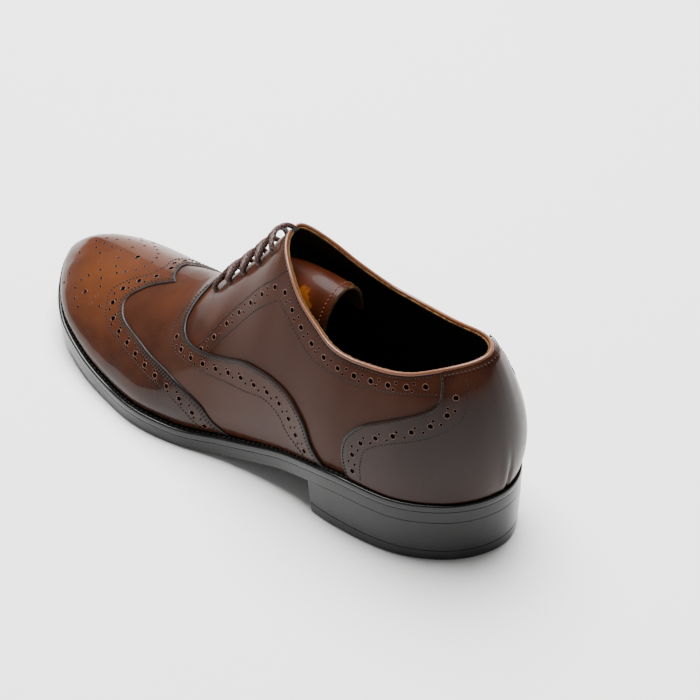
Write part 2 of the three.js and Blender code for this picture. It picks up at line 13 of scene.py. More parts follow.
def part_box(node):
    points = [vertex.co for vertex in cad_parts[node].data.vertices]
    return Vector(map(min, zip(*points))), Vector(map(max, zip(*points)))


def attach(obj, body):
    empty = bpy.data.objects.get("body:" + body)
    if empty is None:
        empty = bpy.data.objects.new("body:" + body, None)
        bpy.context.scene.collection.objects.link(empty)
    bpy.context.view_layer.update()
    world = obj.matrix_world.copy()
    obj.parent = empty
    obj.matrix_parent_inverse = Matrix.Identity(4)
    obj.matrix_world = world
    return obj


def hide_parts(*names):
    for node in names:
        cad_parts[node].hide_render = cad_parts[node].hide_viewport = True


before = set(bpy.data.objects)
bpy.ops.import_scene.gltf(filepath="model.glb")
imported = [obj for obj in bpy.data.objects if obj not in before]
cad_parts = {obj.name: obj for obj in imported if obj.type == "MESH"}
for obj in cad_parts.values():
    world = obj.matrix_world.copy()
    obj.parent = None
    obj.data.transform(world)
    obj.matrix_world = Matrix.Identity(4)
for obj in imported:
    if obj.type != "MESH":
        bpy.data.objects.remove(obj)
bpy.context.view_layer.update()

bl_info = {
    "name": "Brogue shoe",
    "version": (1, 0, 0),
    "blender": (4, 5, 0),
    "location": "View3D > Sidebar > Brogue",
    "description": "Builds the leather, laces, sole and stage of a left brogue shoe",
    "category": "Add Mesh",
}

MM = 0.001

# Driving sizes of the sole and the last, in millimetres
LENGTH = 292.0
SOLE_WIDTH = 100.0
HEEL_RISE = 25.9
TOE_SPRING = 11.0
INSTEP_HEIGHT = 122.0
LEDGE = 6.0
BULGE = 3.2
OUTSOLE = 6.6
WELT = 3.7
WELT_RING = 8.7
INSOLE_INSET = 9.0
INSOLE_PROUD = 2.7
TOP_PIECE = 6.0
HEEL_BREAST = 86.5
HEEL_TAPER = 1.2
WALL = 2.2
WALL_DEPTH = 0.6
OVERLAY = 1.2
CAP = 1.4
GAP = 0.3
FOOT_GAP = 0.5
TONGUE = 2.0
TONGUE_WIDTH = 48.0
EYELET_INSET = 10.5
FACING_GAP_TOP = 3.5
FACING_GAP_LOW = 1.2
EYELET_ROWS = 5
FACING_TOP = 0.445
EYELET_LOW = 0.6
EYELET_HIGH = 0.462
THROAT = 7.8


def table(names, rows):
    return {name: np.array([row[i] for row in rows], float) for i, name in enumerate(names)}


# Sections of the last from heel back to toe tip: places along are shares of the length, across of the
# sole's width, ledge and bulge of their own sizes; side and top are the exponents of the section's curve.
# They were fitted to the photograph's outlines beforehand and rounded
SECTIONS = table(
    ["along", "lateral", "medial", "crest_along", "crest_across", "ledge",
     "side_lateral", "side_medial", "top", "bulge_lateral", "bulge_medial"],
    [
        [0, 0, 0, 0.15, 0, 0.35, 2.9, 2.9, 1.8, 0.95, 0.95],
        [0.018, 0.168, 0.158, 0.155, 0, 0.35, 2.9, 2.6, 1.8, 0.75, 1.2],
        [0.065, 0.311, 0.273, 0.17, 0, 0.37, 2.9, 2.4, 1.8, 0.3, 1.25],
        [0.14, 0.412, 0.33, 0.2, 0, 0.4, 2.9, 2.3, 1.79, 0.05, 1.2],
        [0.25, 0.44, 0.326, 0.27, -0.01, 0.45, 2.5, 2.7, 1.75, 0.2, 0.95],
        [0.37, 0.405, 0.259, 0.37, -0.02, 0.55, 2.05, 3.1, 1.7, 0.4, 0.65],
        [0.48, 0.426, 0.235, 0.47, -0.04, 0.68, 1.7, 3.3, 1.65, 0.7, 0.4],
        [0.58, 0.493, 0.297, 0.56, -0.05, 0.79, 1.85, 2.8, 1.54, 0.95, 0.25],
        [0.66, 0.51, 0.383, 0.635, -0.06, 0.79, 2.08, 2.3, 1.44, 0.97, 0.2],
        [0.74, 0.467, 0.445, 0.708, -0.07, 0.79, 2.18, 2.12, 1.43, 0.97, 0.2],
        [0.82, 0.398, 0.46, 0.777, -0.08, 0.79, 2.28, 2.12, 1.43, 0.97, 0.2],
        [0.9, 0.282, 0.412, 0.835, -0.085, 0.79, 2.38, 2.2, 1.43, 1, 0.25],
        [0.965, 0.091, 0.297, 0.873, -0.09, 0.79, 2.38, 2.22, 1.43, 1, 0.4],
        [1, -0.11, 0.11, 0.892, -0.09, 0.79, 2.38, 2.38, 1.43, 0.8, 0.8],
    ],
)
SOLE_PROFILE = table(["along", "heel", "spring"], [
    [0, 1, 0], [0.12, 0.96, 0], [0.25, 0.92, 0], [0.35, 0.6, 0], [0.45, 0.24, 0], [0.55, 0.02, 0],
    [0.64, 0, 0], [0.72, 0, 0], [0.8, 0, 0.22], [0.9, 0, 0.66], [1, 0, 1],
])
CREST = table(["along", "height"], [
    [0, 1.16], [0.1, 0.99], [0.2, 0.95], [0.3, 1.03], [0.37, 1.085], [0.41, 1.055], [0.445, 1.005],
    [0.5, 0.834], [0.54, 0.715], [0.587, 0.585], [0.64, 0.475], [0.7, 0.425], [0.76, 0.388],
    [0.82, 0.36], [0.88, 0.343], [0.94, 0.333], [1, 0.305],
])
COLLAR = table(["along", "height"], [
    [0, 0.935], [0.07, 0.893], [0.137, 0.835], [0.205, 0.804], [0.245, 0.796], [0.285, 0.805],
    [0.325, 0.843], [0.36, 0.885], [0.395, 0.938], [0.445, 1],
])
# Seams on one side, from the sole up: rise is the share of the way up, station the row of the sections
VAMP_EDGE = table(["rise", "station"], [
    [0, 4.15], [0.08, 4.35], [0.2, 4.6], [0.25, 4.85], [0.29, 5.2], [0.32, 5.55], [0.37, 6.1],
    [0.44, 6.65], [0.505, 7.05], [0.59, 7.4], [0.67, 7.6], [0.78, 7.75], [0.9, 7.85], [1, 7.95],
])
COUNTER_EDGE = table(["rise", "station"], [
    [0, 3.7], [0.05, 3.75], [0.14, 3.8], [0.24, 3.7], [0.33, 3.35], [0.39, 2.85], [0.44, 2.1],
    [0.52, 1.85], [0.62, 1.85], [0.85, 1.85],
])
# Seam of the cap with its tip on the outer side, and a guessed plainer line for the inner side
CAP_EDGE = table(["rise", "station"], [
    [0, 5.95], [0.08, 6.2], [0.2, 6.5], [0.31, 7], [0.43, 7.8], [0.5, 8.55], [0.545, 9.15], [0.61, 9.5],
    [0.68, 9.62], [0.77, 9.52], [0.85, 9.3], [0.895, 9.06], [0.925, 8.92], [0.945, 9.03], [1, 9.25],
])
CAP_INNER_EDGE = table(["rise", "station"], [
    [0, 5.95], [0.08, 6.2], [0.2, 6.5], [0.31, 7], [0.43, 7.6], [0.55, 8.05], [0.66, 8.3], [0.73, 8.55],
    [0.78, 8.85], [0.83, 9.1], [0.9, 9.22], [1, 9.25],
])
# Inner stitch rows of the punched bands, on the outer side
CAP_ROW = table(["station", "rise"], [
    [6.4, 0.02], [6.8, 0.169], [7.22, 0.263], [8.04, 0.356], [8.98, 0.425], [9.58, 0.469], [9.92, 0.544],
    [10.18, 0.65], [10.04, 0.794], [9.7, 0.93], [9.66, 0.999],
])
CAP_INNER_ROW = table(["station", "rise"], [
    [6.4, 0.02], [6.8, 0.169], [7.22, 0.263], [7.9, 0.37], [8.45, 0.47], [8.8, 0.56], [9.1, 0.66],
    [9.4, 0.76], [9.6, 0.87], [9.66, 0.999],
])
VAMP_ROW = table(["station", "rise"], [
    [4.5, 0.02], [4.58, 0.044], [4.8, 0.1], [5, 0.169], [5.28, 0.213], [5.64, 0.231], [6.18, 0.294],
    [6.8, 0.388], [7.34, 0.475], [7.74, 0.588], [7.94, 0.706], [7.93, 0.82], [7.9, 0.93],
])
COUNTER_ROW = table(["station", "rise"], [
    [3.46, 0.03], [3.46, 0.138], [3.38, 0.206], [3.06, 0.263], [2.26, 0.312], [1.62, 0.344],
    [1.28, 0.388], [1.12, 0.469], [1.12, 0.54],
])
FACING_UPPER = table(["station", "rise"], [
    [7.02, 0.46], [6.86, 0.49], [6.68, 0.525], [6.5, 0.575], [6.26, 0.605], [5.92, 0.62], [5.62, 0.635],
    [5.36, 0.69],
])
FACING_LOWER = table(["station", "rise"], [
    [6.7, 0.41], [6.54, 0.438], [6.36, 0.475], [6.06, 0.506], [5.7, 0.53], [5.48, 0.55], [5.34, 0.562],
])
COLLAR_LOWER = table(["station", "rise"], [
    [5.34, 0.562], [5.12, 0.513], [4.86, 0.463], [4.6, 0.431], [4.24, 0.428], [3.76, 0.455],
    [3.34, 0.487], [2.58, 0.512], [1.94, 0.5],
])
# How many large holes each band has on one side of the shoe
HOLES = {"cap": 14, "vamp": 13, "counter": 9, "facing": 7, "collar": 11}
TONGUE_SECTIONS = table(["along", "height", "across", "outer", "inner", "drop"], [
    [0.332, 0.852, 0, 0.34, 0.3, 0.45], [0.395, 0.856, -0.015, 0.36, 0.24, 0.4],
    [0.44, 0.84, -0.03, 0.38, 0.19, 0.35], [0.47, 0.815, -0.035, 0.4, 0.17, 0.32],
    [0.5, 0.765, -0.04, 0.42, 0.17, 0.3], [0.54, 0.66, -0.05, 0.44, 0.2, 0.3],
    [0.587, 0.535, -0.055, 0.46, 0.27, 0.29], [0.635, 0.441, -0.06, 0.48, 0.38, 0.25],
    [0.68, 0.402, -0.062, 0.5, 0.44, 0.22],
])
# The toe's punched ornament on one side of its middle line: places in millimetres from the heel and from
# that line, and the size of the punch, 1 for a small one and 2 for a large one
ORNAMENT_LINE = -7.5
ORNAMENT = table(["along", "across", "punch"], [
    [239.7, 0, 2], [229.5, 0, 1], [251.4, 0, 1], [257.8, 0, 1], [263, 0, 1], [268.5, 0, 1],
    [230.5, 4.2, 1], [233.2, 8, 1], [237.4, 11.4, 1], [241.4, 13.6, 1], [245, 10.2, 1], [248.4, 5.1, 1],
    [260.3, 6, 1], [255.9, 10.4, 1], [251.6, 14.8, 1], [247.4, 18.7, 1], [244.5, 22.4, 1],
    [242.9, 26.8, 1], [243.8, 30.6, 1], [251.5, 26.6, 2], [256, 18.8, 1], [258.9, 21.7, 1],
    [259.5, 25.8, 1], [255.8, 30.2, 1], [250.6, 33.3, 1], [265.2, 3.6, 1], [274.1, 7, 1],
    [270.9, 13, 1], [270.3, 18.6, 1], [270.6, 22.6, 1], [282.6, 8, 1], [237.4, 30.8, 1],
])


def smooth(columns, key, column, at):
    """Value of a table's column between its rows, on a smooth curve through them."""
    x = columns[key]
    y = columns[column]
    at = np.asarray(at, float)
    rate = np.diff(y) / np.diff(x)
    before = np.diff(x)[:-1]
    after = np.diff(x)[1:]
    inside = (rate[:-1] * after + rate[1:] * before) / (before + after)
    slope = np.concatenate([rate[:1], inside, rate[-1:]])
    i = np.clip(np.searchsorted(x, at, side="right") - 1, 0, len(x) - 2)
    span = x[i + 1] - x[i]
    f = np.clip((at - x[i]) / span, 0, 1)
    g = 1 - f
    value = (y[i] * (1 + 2 * f) * g * g + y[i + 1] * (3 - 2 * f) * f * f
             + span * f * g * (slope[i] * g - slope[i + 1] * f))
    under = np.minimum(at - x[0], 0) * slope[0]
    over = np.maximum(at - x[-1], 0) * slope[-1]
    return value + under + over


TOE = len(SECTIONS["along"]) - 1
STATIONS = 2 * TOE


def _loop():
    s = SECTIONS
    outer, inner = (np.stack([
        s["along"] * LENGTH, sign * s[side] * SOLE_WIDTH, s["crest_along"] * LENGTH,
        s["crest_across"] * SOLE_WIDTH, s["ledge"] * LEDGE, s["side_" + side], s["top"],
        s["bulge_" + side] * BULGE], 1) for side, sign in (("lateral", 1), ("medial", -1)))
    return np.concatenate([outer, inner[1:TOE][::-1]])


LOOP = _loop()


def on_loop(station):
    station = np.asarray(station, float)
    start = np.floor(station).astype(int)
    f = (station - start)[..., None]
    a, b, c, d = (LOOP[(start + k) % STATIONS] for k in (-1, 0, 1, 2))
    return 0.5 * (2 * b + (c - a) * f + (2 * a - 5 * b + 4 * c - d) * f * f
                  + (3 * (b - c) + d - a) * f ** 3)


def edge_point(station, inset=0.0):
    """Plan of the sole's edge, moved inwards: x, y and the inward direction."""
    small = 0.001
    here = on_loop(station)
    step = on_loop(station + small) - on_loop(station - small)
    along = np.hypot(step[..., 0], step[..., 1])
    inward = np.stack([step[..., 1] / along, -step[..., 0] / along], -1)
    return here[..., 0] + inward[..., 0] * inset, here[..., 1] + inward[..., 1] * inset, inward


def sole_bottom(x):
    heel = HEEL_RISE * smooth(SOLE_PROFILE, "along", "heel", x / LENGTH)
    return np.maximum(0, heel + TOE_SPRING * smooth(SOLE_PROFILE, "along", "spring", x / LENGTH))


def outsole_top(x):
    return sole_bottom(x) + OUTSOLE


def welt_top(x):
    return outsole_top(x) + GAP + WELT


def crest_height(x):
    return INSTEP_HEIGHT * smooth(CREST, "along", "height", x / LENGTH)


def crest_across(x):
    return SOLE_WIDTH * smooth(SECTIONS, "crest_along", "crest_across", x / LENGTH)


def collar_height(x):
    return INSTEP_HEIGHT * smooth(COLLAR, "along", "height", x / LENGTH)


def last_point(station, rise):
    """A point of the last's surface; rise runs from 0 at the welt to 1 on the middle line."""
    station, rise = np.broadcast_arrays(np.asarray(station, float), np.asarray(rise, float))
    row = on_loop(station)
    foot_x, foot_y, inward = edge_point(station, row[..., 4])
    angle = np.pi / 2 * np.clip(rise, 0, 1)
    near = np.maximum(np.cos(angle), 0) ** (2 / row[..., 5])
    up = np.sin(angle) ** (2 / row[..., 6])
    swell = row[..., 7] * up * (1 - up) ** 3 / (0.25 * 0.75 ** 3)
    x = row[..., 2] + (foot_x - row[..., 2]) * near - inward[..., 0] * swell
    y = row[..., 3] + (foot_y - row[..., 3]) * near - inward[..., 1] * swell
    base = welt_top(foot_x) + FOOT_GAP
    return np.stack([x, y, base + (crest_height(x) - base) * up], -1)


def unit(v):
    return v / np.maximum(np.linalg.norm(v, axis=-1, keepdims=True), 1e-12)


def last_normal(station, rise):
    small = 0.004
    station, rise = np.broadcast_arrays(np.asarray(station, float), np.asarray(rise, float))
    low = np.maximum(rise - small, 0)
    high = np.minimum(rise + small, 1)
    up = last_point(station, high) - last_point(station, low)
    along = last_point(station + small, rise) - last_point(station - small, rise)
    side = unit(np.cross(up, along))
    x = last_point(station, np.ones_like(rise))[..., 0]
    ridge = unit(np.stack([crest_height(x - 1) - crest_height(x + 1), 0 * x, 0 * x + 2], -1))
    return np.where((rise > 1 - small)[..., None], ridge, side)


def last_offset(station, rise, out):
    p = last_point(station, rise) + last_normal(station, rise) * np.asarray(out, float)[..., None]
    p[..., 2] = np.maximum(p[..., 2], welt_top(p[..., 0]) + FOOT_GAP)
    return p


# The rim of the upper: at the collar, at the facing's edge or, in front of the throat, on the middle line
RIM_DROP = 1.9  # what shows of the binding over the leather


def over_collar(p):
    return p[..., 2] > collar_height(p[..., 0]) - RIM_DROP


def facing_gap(x):
    f = (x / LENGTH - FACING_TOP) / (EYELET_LOW - FACING_TOP)
    return FACING_GAP_TOP + (FACING_GAP_LOW - FACING_GAP_TOP) * np.clip(f, 0, 1)


def over_facing(p):
    near = np.abs(p[..., 1] - crest_across(p[..., 0])) < facing_gap(p[..., 0])
    return (p[..., 0] > HEEL_BREAST) & near


def first_rise(station, test):
    """Lowest rise on each rib where a test holds, or 1."""
    station = np.asarray(station, float)
    ladder = np.arange(0.2, 1, 0.01)
    held = test(last_point(station[..., None], ladder))
    found = held.any(-1)
    high = ladder[np.argmax(held, -1)]
    low = high - 0.01
    for _ in range(22):
        middle = (low + high) / 2
        hit = test(last_point(station, middle))
        high = np.where(hit, middle, high)
        low = np.where(hit, low, middle)
    return np.where(found, low, 1.0)


def rib_top(station):
    station = np.asarray(station, float)
    aside = np.where(station > TOE, STATIONS - station, station)
    top = first_rise(station, lambda p: over_collar(p) | over_facing(p))
    return np.where(aside >= THROAT, 1.0, top)


def corner_station(inside):
    low, high = 4.5, THROAT
    for _ in range(24):
        middle = (low + high) / 2
        at = np.array([STATIONS - middle if inside else middle])
        if first_rise(at, over_collar)[0] < first_rise(at, over_facing)[0]:
            low = middle
        else:
            high = middle
    return low


CORNERS = (corner_station(False), corner_station(True))


@functools.lru_cache(maxsize=None)
def surface():
    return Surface()


class Surface:
    """A fine net of the last, to find the place of a point over it."""

    def __init__(self):
        stations = np.arange(0, STATIONS, 0.05)
        rises = np.linspace(0, 1, 121)
        self.places = np.stack(np.meshgrid(stations, rises, indexing="ij"), -1).reshape(-1, 2)
        self.points = last_point(self.places[:, 0], self.places[:, 1])
        self.solid = KDTree(len(self.points))
        for i, p in enumerate(self.points):
            self.solid.insert(p, i)
        self.solid.balance()
        self.above = np.where(self.places[:, 1] > 0.12)[0]
        self.plan = KDTree(len(self.above))
        for i, k in enumerate(self.above):
            self.plan.insert((self.points[k][0], self.points[k][1], 0), i)
        self.plan.balance()

    def under(self, x, y):
        """Station and rise of the surface's point over a place in plan."""
        _, i, _ = self.plan.find((x, y, 0))
        place = self.places[self.above[i]].copy()
        for _ in range(4):
            p = last_point(place[0], place[1])
            ds = (last_point(place[0] + 0.01, place[1]) - p)[:2] / 0.01
            dr = (p - last_point(place[0], place[1] - 0.005))[:2] / 0.005
            jacobian = np.stack([ds, dr], 1)
            if abs(np.linalg.det(jacobian)) < 1e-3:
                break
            step = np.linalg.solve(jacobian, np.array([x, y]) - p[:2])
            place = place + np.clip(step, -0.06, 0.06)
            place[1] = min(place[1], 1.0)
        return place

    def kept_inside(self, p, depth):
        """A point moved inwards where it would come nearer to the surface than a depth."""
        _, i, _ = self.solid.find(p)
        normal = last_normal(*self.places[i])
        below = float(np.dot(self.points[i] - p, normal))
        return p + normal * min(below - depth, 0)


# Rows of stitches and holes: a row is a list of places, each a station and a rise
def row_of(seam, high=None, count=200):
    at = np.linspace(0.005, seam["rise"][-1] if high is None else high, count)
    return np.stack([smooth(seam, "rise", "station", at), at], -1)


def row_through(columns, count=80):
    """A smooth row through a short table of stations and rises."""
    points = np.stack([columns["station"], columns["rise"]], -1)
    length = np.concatenate([[0], np.cumsum(np.linalg.norm(np.diff(points, axis=0) * [1, 6], axis=1))])
    steps = {"at": length, "station": points[:, 0], "rise": points[:, 1]}
    at = np.linspace(0, length[-1], count)
    return np.stack([smooth(steps, "at", "station", at), smooth(steps, "at", "rise", at)], -1)


def mirrored(row):
    return np.stack([STATIONS - row[:, 0], row[:, 1]], -1)


def stepped(row, spacing, first=0.5):
    """The row's places at even steps in millimetres."""
    p = last_point(row[:, 0], row[:, 1])
    length = np.concatenate([[0], np.cumsum(np.linalg.norm(np.diff(p, axis=0), axis=1))])
    count = max(int(length[-1] / spacing), 1)
    at = (np.arange(count) + first) * length[-1] / count
    return np.stack([np.interp(at, length, row[:, 0]), np.interp(at, length, row[:, 1])], -1)


def moved(row, distance):
    """The row moved sideways over the surface, to the right of its run as seen from outside."""
    row = stepped(row, 1.5, 0.0)
    p = last_point(row[:, 0], row[:, 1])
    run = unit(np.gradient(p, axis=0))
    across = np.cross(run, last_normal(row[:, 0], row[:, 1]))
    small = 0.02
    high = np.minimum(row[:, 1] + small / 4, 1)
    low = high - small / 2
    ds = (last_point(row[:, 0] + small, row[:, 1]) - last_point(row[:, 0] - small, row[:, 1])) / (2 * small)
    dr = (last_point(row[:, 0], high) - last_point(row[:, 0], low)) / (small / 2)
    target = across * distance
    a, b, c = (ds * ds).sum(1), (ds * dr).sum(1), (dr * dr).sum(1)
    u, v = (ds * target).sum(1), (dr * target).sum(1)
    det = np.maximum(a * c - b * b, 1e-6)
    shift = np.stack([(u * c - v * b) / det, (a * v - b * u) / det], -1)
    far = np.abs(shift[:, 0]) < 1.5
    made = np.stack([row[:, 0] + shift[:, 0], row[:, 1] + shift[:, 1]], -1)
    return made[far & (made[:, 1] > 0.005) & (made[:, 1] < 0.9995)]


def between(first, second, share=0.5):
    """The row that runs between two others."""
    a, b = (stepped(row, row_length(row) / 120, 0.0) for row in (first, second))
    count = min(len(a), len(b))
    return a[:count] * (1 - share) + b[:count] * share


def row_length(row):
    p = last_point(row[:, 0], row[:, 1])
    return float(np.linalg.norm(np.diff(p, axis=0), axis=1).sum())


def spread(row, count, first=0.5, last=0.5):
    """A number of places at even steps along the row, a share of a step inside its ends."""
    p = last_point(row[:, 0], row[:, 1])
    length = np.concatenate([[0], np.cumsum(np.linalg.norm(np.diff(p, axis=0), axis=1))])
    step = length[-1] / (count - 1 + first + last)
    at = (np.arange(count) + first) * step
    return np.stack([np.interp(at, length, row[:, 0]), np.interp(at, length, row[:, 1])], -1)


def under_rim(row, depth):
    """The part of a row that stays a distance in millimetres under the collar."""
    height = last_point(row[:, 0], row[:, 1])
    return row[height[:, 2] < collar_height(height[:, 0]) - RIM_DROP - depth]


def rim_row(depth, first, last):
    """A row at a distance under the collar, between two stations of the outer side."""
    station = np.linspace(first, last, 160)
    rise = first_rise(station, lambda p: p[..., 2] > collar_height(p[..., 0]) - RIM_DROP - depth)
    return np.stack([station, rise], -1)


# Where the shoe stands in the part's frame: the sole's heel edge and its outer and inner edges
def part_shift():
    low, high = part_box("outsole")
    _, across = edge_point(np.arange(0, STATIONS, 1 / 3))[:2]
    return np.array([low[0] / MM, (low[1] + high[1]) / 2 / MM - (across.max() + across.min()) / 2, 0])


SHIFT = part_shift()


def placed(points):
    return (np.asarray(points, float) + SHIFT) * MM


# Making meshes
class Build:
    """Vertices, faces, materials and tones of one mesh, gathered sheet by sheet."""

    def __init__(self):
        self.points = []
        self.faces = []
        self.slots = []
        self.tones = []
        self.count = 0

    def add(self, points, tone=0.5):
        points = np.asarray(points, float)
        flat = points.reshape(-1, 3)
        tone = np.broadcast_to(np.asarray(tone, float), points.shape[:-1]).reshape(-1)
        self.points.append(flat)
        self.tones.append(tone)
        index = np.arange(self.count, self.count + len(flat)).reshape(points.shape[:-1])
        self.count += len(flat)
        return index

    def quads(self, index, slot=0, flip=False, around=False):
        """Faces between the rows of a grid of vertex numbers."""
        if around:
            index = np.concatenate([index, index[:, :1]], 1)
        a, b, c, d = index[:-1, :-1], index[:-1, 1:], index[1:, 1:], index[1:, :-1]
        faces = np.stack([a, b, c, d], -1).reshape(-1, 4)
        self.faces.append(faces[:, ::-1] if flip else faces)
        self.slots.append(np.full(len(faces), slot))

    def mesh(self, name, sharp=40.0, weld=1e-6):
        data = bpy.data.meshes.new(name)
        faces = np.concatenate(self.faces)
        slots = np.concatenate(self.slots)
        points = placed(np.concatenate(self.points))
        key = np.round(points / weld).astype(np.int64)
        _, first, number = np.unique(key, axis=0, return_index=True, return_inverse=True)
        faces = number.reshape(-1)[faces]
        keep = [len(set(f)) >= 3 for f in faces.tolist()]
        faces, slots = faces[keep], slots[keep]
        lists = [list(dict.fromkeys(f)) for f in faces.tolist()]
        data.from_pydata(points[first].tolist(), [], lists)
        data.polygons.foreach_set("material_index", slots.astype(np.int32))
        layer = data.attributes.new("tone", "FLOAT", "POINT")
        layer.data.foreach_set("value", np.concatenate(self.tones)[first].astype(np.float32))
        data.update()
        data.shade_smooth()
        if sharp is not None:
            data.set_sharp_from_angle(angle=math.radians(sharp))
        return data


def show(name, data, nodes, materials):
    """Put a finished mesh in the scene, riding on the shoe, in place of CAD nodes."""
    for material in materials:
        data.materials.append(material)
    piece = bpy.data.objects.new(name, data)
    bpy.context.scene.collection.objects.link(piece)
    if data.validate():
        print("mended", name)
    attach(piece, "root")
    if nodes:
        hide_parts(*nodes)
    return piece


def tube(build, path, radius, sides, slot=0, tone=None, wave=None, caps=True):
    """A round cord along a path; wave changes the radius by place along and around."""
    run = unit(np.gradient(path, axis=0))
    right = unit(np.cross(np.array([0.0, 0, 1]), run))
    up = np.cross(run, right)
    turn = np.arange(sides) * 2 * np.pi / sides
    length = np.concatenate([[0], np.cumsum(np.linalg.norm(np.diff(path, axis=0), axis=1))])
    swell = np.ones((len(path), sides)) if wave is None else wave(length[:, None], turn[None, :])
    ring = (right[:, None] * np.cos(turn)[None, :, None] + up[:, None] * np.sin(turn)[None, :, None])
    points = path[:, None] + ring * (radius * swell)[..., None]
    index = build.add(points, 0.5 if tone is None else tone(length[:, None], turn[None, :]))
    build.quads(index, slot, around=True, flip=False)
    if caps:
        for at, flip in ((0, False), (-1, True)):
            middle = build.add(path[at][None], 0.5)
            ends = np.stack([np.full(sides, middle[0]), index[at]])
            build.quads(ends, slot, around=True, flip=flip)
    return index


# Shader node helpers
def link(tree, a, b):
    tree.links.new(a, b)


def group_sockets(tree, ins, outs):
    for name, kind, default in ins:
        socket = tree.interface.new_socket(name=name, in_out="INPUT", socket_type=kind)
        if default is not None:
            socket.default_value = default
    for name, kind in outs:
        tree.interface.new_socket(name=name, in_out="OUTPUT", socket_type=kind)


def math_node(tree, operation, a, b=None, c=None, clamp=False):
    node = tree.nodes.new("ShaderNodeMath")
    node.operation = operation
    node.use_clamp = clamp
    for i, value in enumerate((a, b, c)):
        if value is None:
            continue
        if isinstance(value, (int, float)):
            node.inputs[i].default_value = value
        else:
            link(tree, value, node.inputs[i])
    return node.outputs[0]


def noise_node(tree, vector, scale, detail=3.0, roughness=0.55):
    node = tree.nodes.new("ShaderNodeTexNoise")
    node.inputs["Detail"].default_value = detail
    node.inputs["Roughness"].default_value = roughness
    if isinstance(scale, (int, float)):
        node.inputs["Scale"].default_value = scale
    else:
        link(tree, scale, node.inputs["Scale"])
    link(tree, vector, node.inputs["Vector"])
    return node.outputs["Fac"]


def centred(tree, noise, share, middle=0.5):
    """Noise set round zero and scaled."""
    return math_node(tree, "MULTIPLY", math_node(tree, "SUBTRACT", noise, middle), share)


def mix_colour(tree, factor, a, b):
    node = tree.nodes.new("ShaderNodeMix")
    node.data_type = "RGBA"
    for socket, value in ((node.inputs[0], factor), (node.inputs[6], a), (node.inputs[7], b)):
        if isinstance(value, tuple):
            socket.default_value = value
        else:
            link(tree, value, socket)
    return node.outputs[2]


def leather_group():
    """Burnished leather: mottled colour, uneven polish and a fine grain."""
    if "Burnished leather" in bpy.data.node_groups:
        return bpy.data.node_groups["Burnished leather"]
    tree = bpy.data.node_groups.new("Burnished leather", "ShaderNodeTree")
    group_sockets(tree, [
        ("Leather", "NodeSocketColor", (0.2, 0.08, 0.04, 1)),
        ("Burnish", "NodeSocketColor", (0.03, 0.015, 0.01, 1)),
        ("Warm", "NodeSocketColor", (0.3, 0.12, 0.05, 1)),
        ("Mottle", "NodeSocketFloat", 0.35),
        ("Polish", "NodeSocketFloat", 0.22),
        ("Grain Depth", "NodeSocketFloat", 0.12),
    ], [("Colour", "NodeSocketColor"), ("Roughness", "NodeSocketFloat"), ("Normal", "NodeSocketVector")])
    inside = tree.nodes.new("NodeGroupInput")
    outside = tree.nodes.new("NodeGroupOutput")
    place = tree.nodes.new("ShaderNodeTexCoord").outputs["Object"]
    tone = tree.nodes.new("ShaderNodeAttribute")
    tone.attribute_name = "tone"
    broad = noise_node(tree, place, 22, 2.0)
    cloud = noise_node(tree, place, 90, 4.0, 0.6)
    fine = noise_node(tree, place, 900, 3.0, 0.6)
    spread = centred(tree, broad, 1.3)
    for noise, share in ((cloud, 1.0), (fine, 0.7)):
        spread = math_node(tree, "ADD", spread, centred(tree, noise, share))
    spread = math_node(tree, "MULTIPLY", spread, inside.outputs["Mottle"])
    # The tone also carries painted light: floor reflections low on the panels and a highlight along the
    # collar's bead
    level = math_node(tree, "ADD", tone.outputs["Fac"], spread, clamp=True)
    dark = math_node(tree, "MULTIPLY", level, 2.0, clamp=True)
    light = math_node(tree, "SUBTRACT", math_node(tree, "MULTIPLY", level, 2.0), 1.0, clamp=True)
    colour = mix_colour(tree, dark, inside.outputs["Burnish"], inside.outputs["Leather"])
    colour = mix_colour(tree, light, colour, inside.outputs["Warm"])
    link(tree, colour, outside.inputs["Colour"])
    uneven = centred(tree, cloud, 0.28, 0.45)
    rough = math_node(tree, "ADD", inside.outputs["Polish"], uneven, clamp=True)
    link(tree, math_node(tree, "MAXIMUM", rough, 0.06), outside.inputs["Roughness"])
    cells = tree.nodes.new("ShaderNodeTexVoronoi")
    cells.feature = "DISTANCE_TO_EDGE"
    cells.inputs["Scale"].default_value = 1400
    link(tree, place, cells.inputs["Vector"])
    pores = math_node(tree, "MINIMUM", cells.outputs["Distance"], 0.25)
    height = math_node(tree, "ADD", pores, math_node(tree, "MULTIPLY", fine, 0.5))
    height = math_node(tree, "ADD", height, math_node(tree, "MULTIPLY", cloud, 0.9))
    bump = tree.nodes.new("ShaderNodeBump")
    bump.inputs["Distance"].default_value = 0.00022
    link(tree, inside.outputs["Grain Depth"], bump.inputs["Strength"])
    link(tree, height, bump.inputs["Height"])
    link(tree, bump.outputs["Normal"], outside.inputs["Normal"])
    return tree


def rgb(colour):
    return (colour[0], colour[1], colour[2], 1.0)


def principled(name):
    material = bpy.data.materials.new(name)
    material.use_nodes = True
    tree = material.node_tree
    return material, tree, tree.nodes["Principled BSDF"]


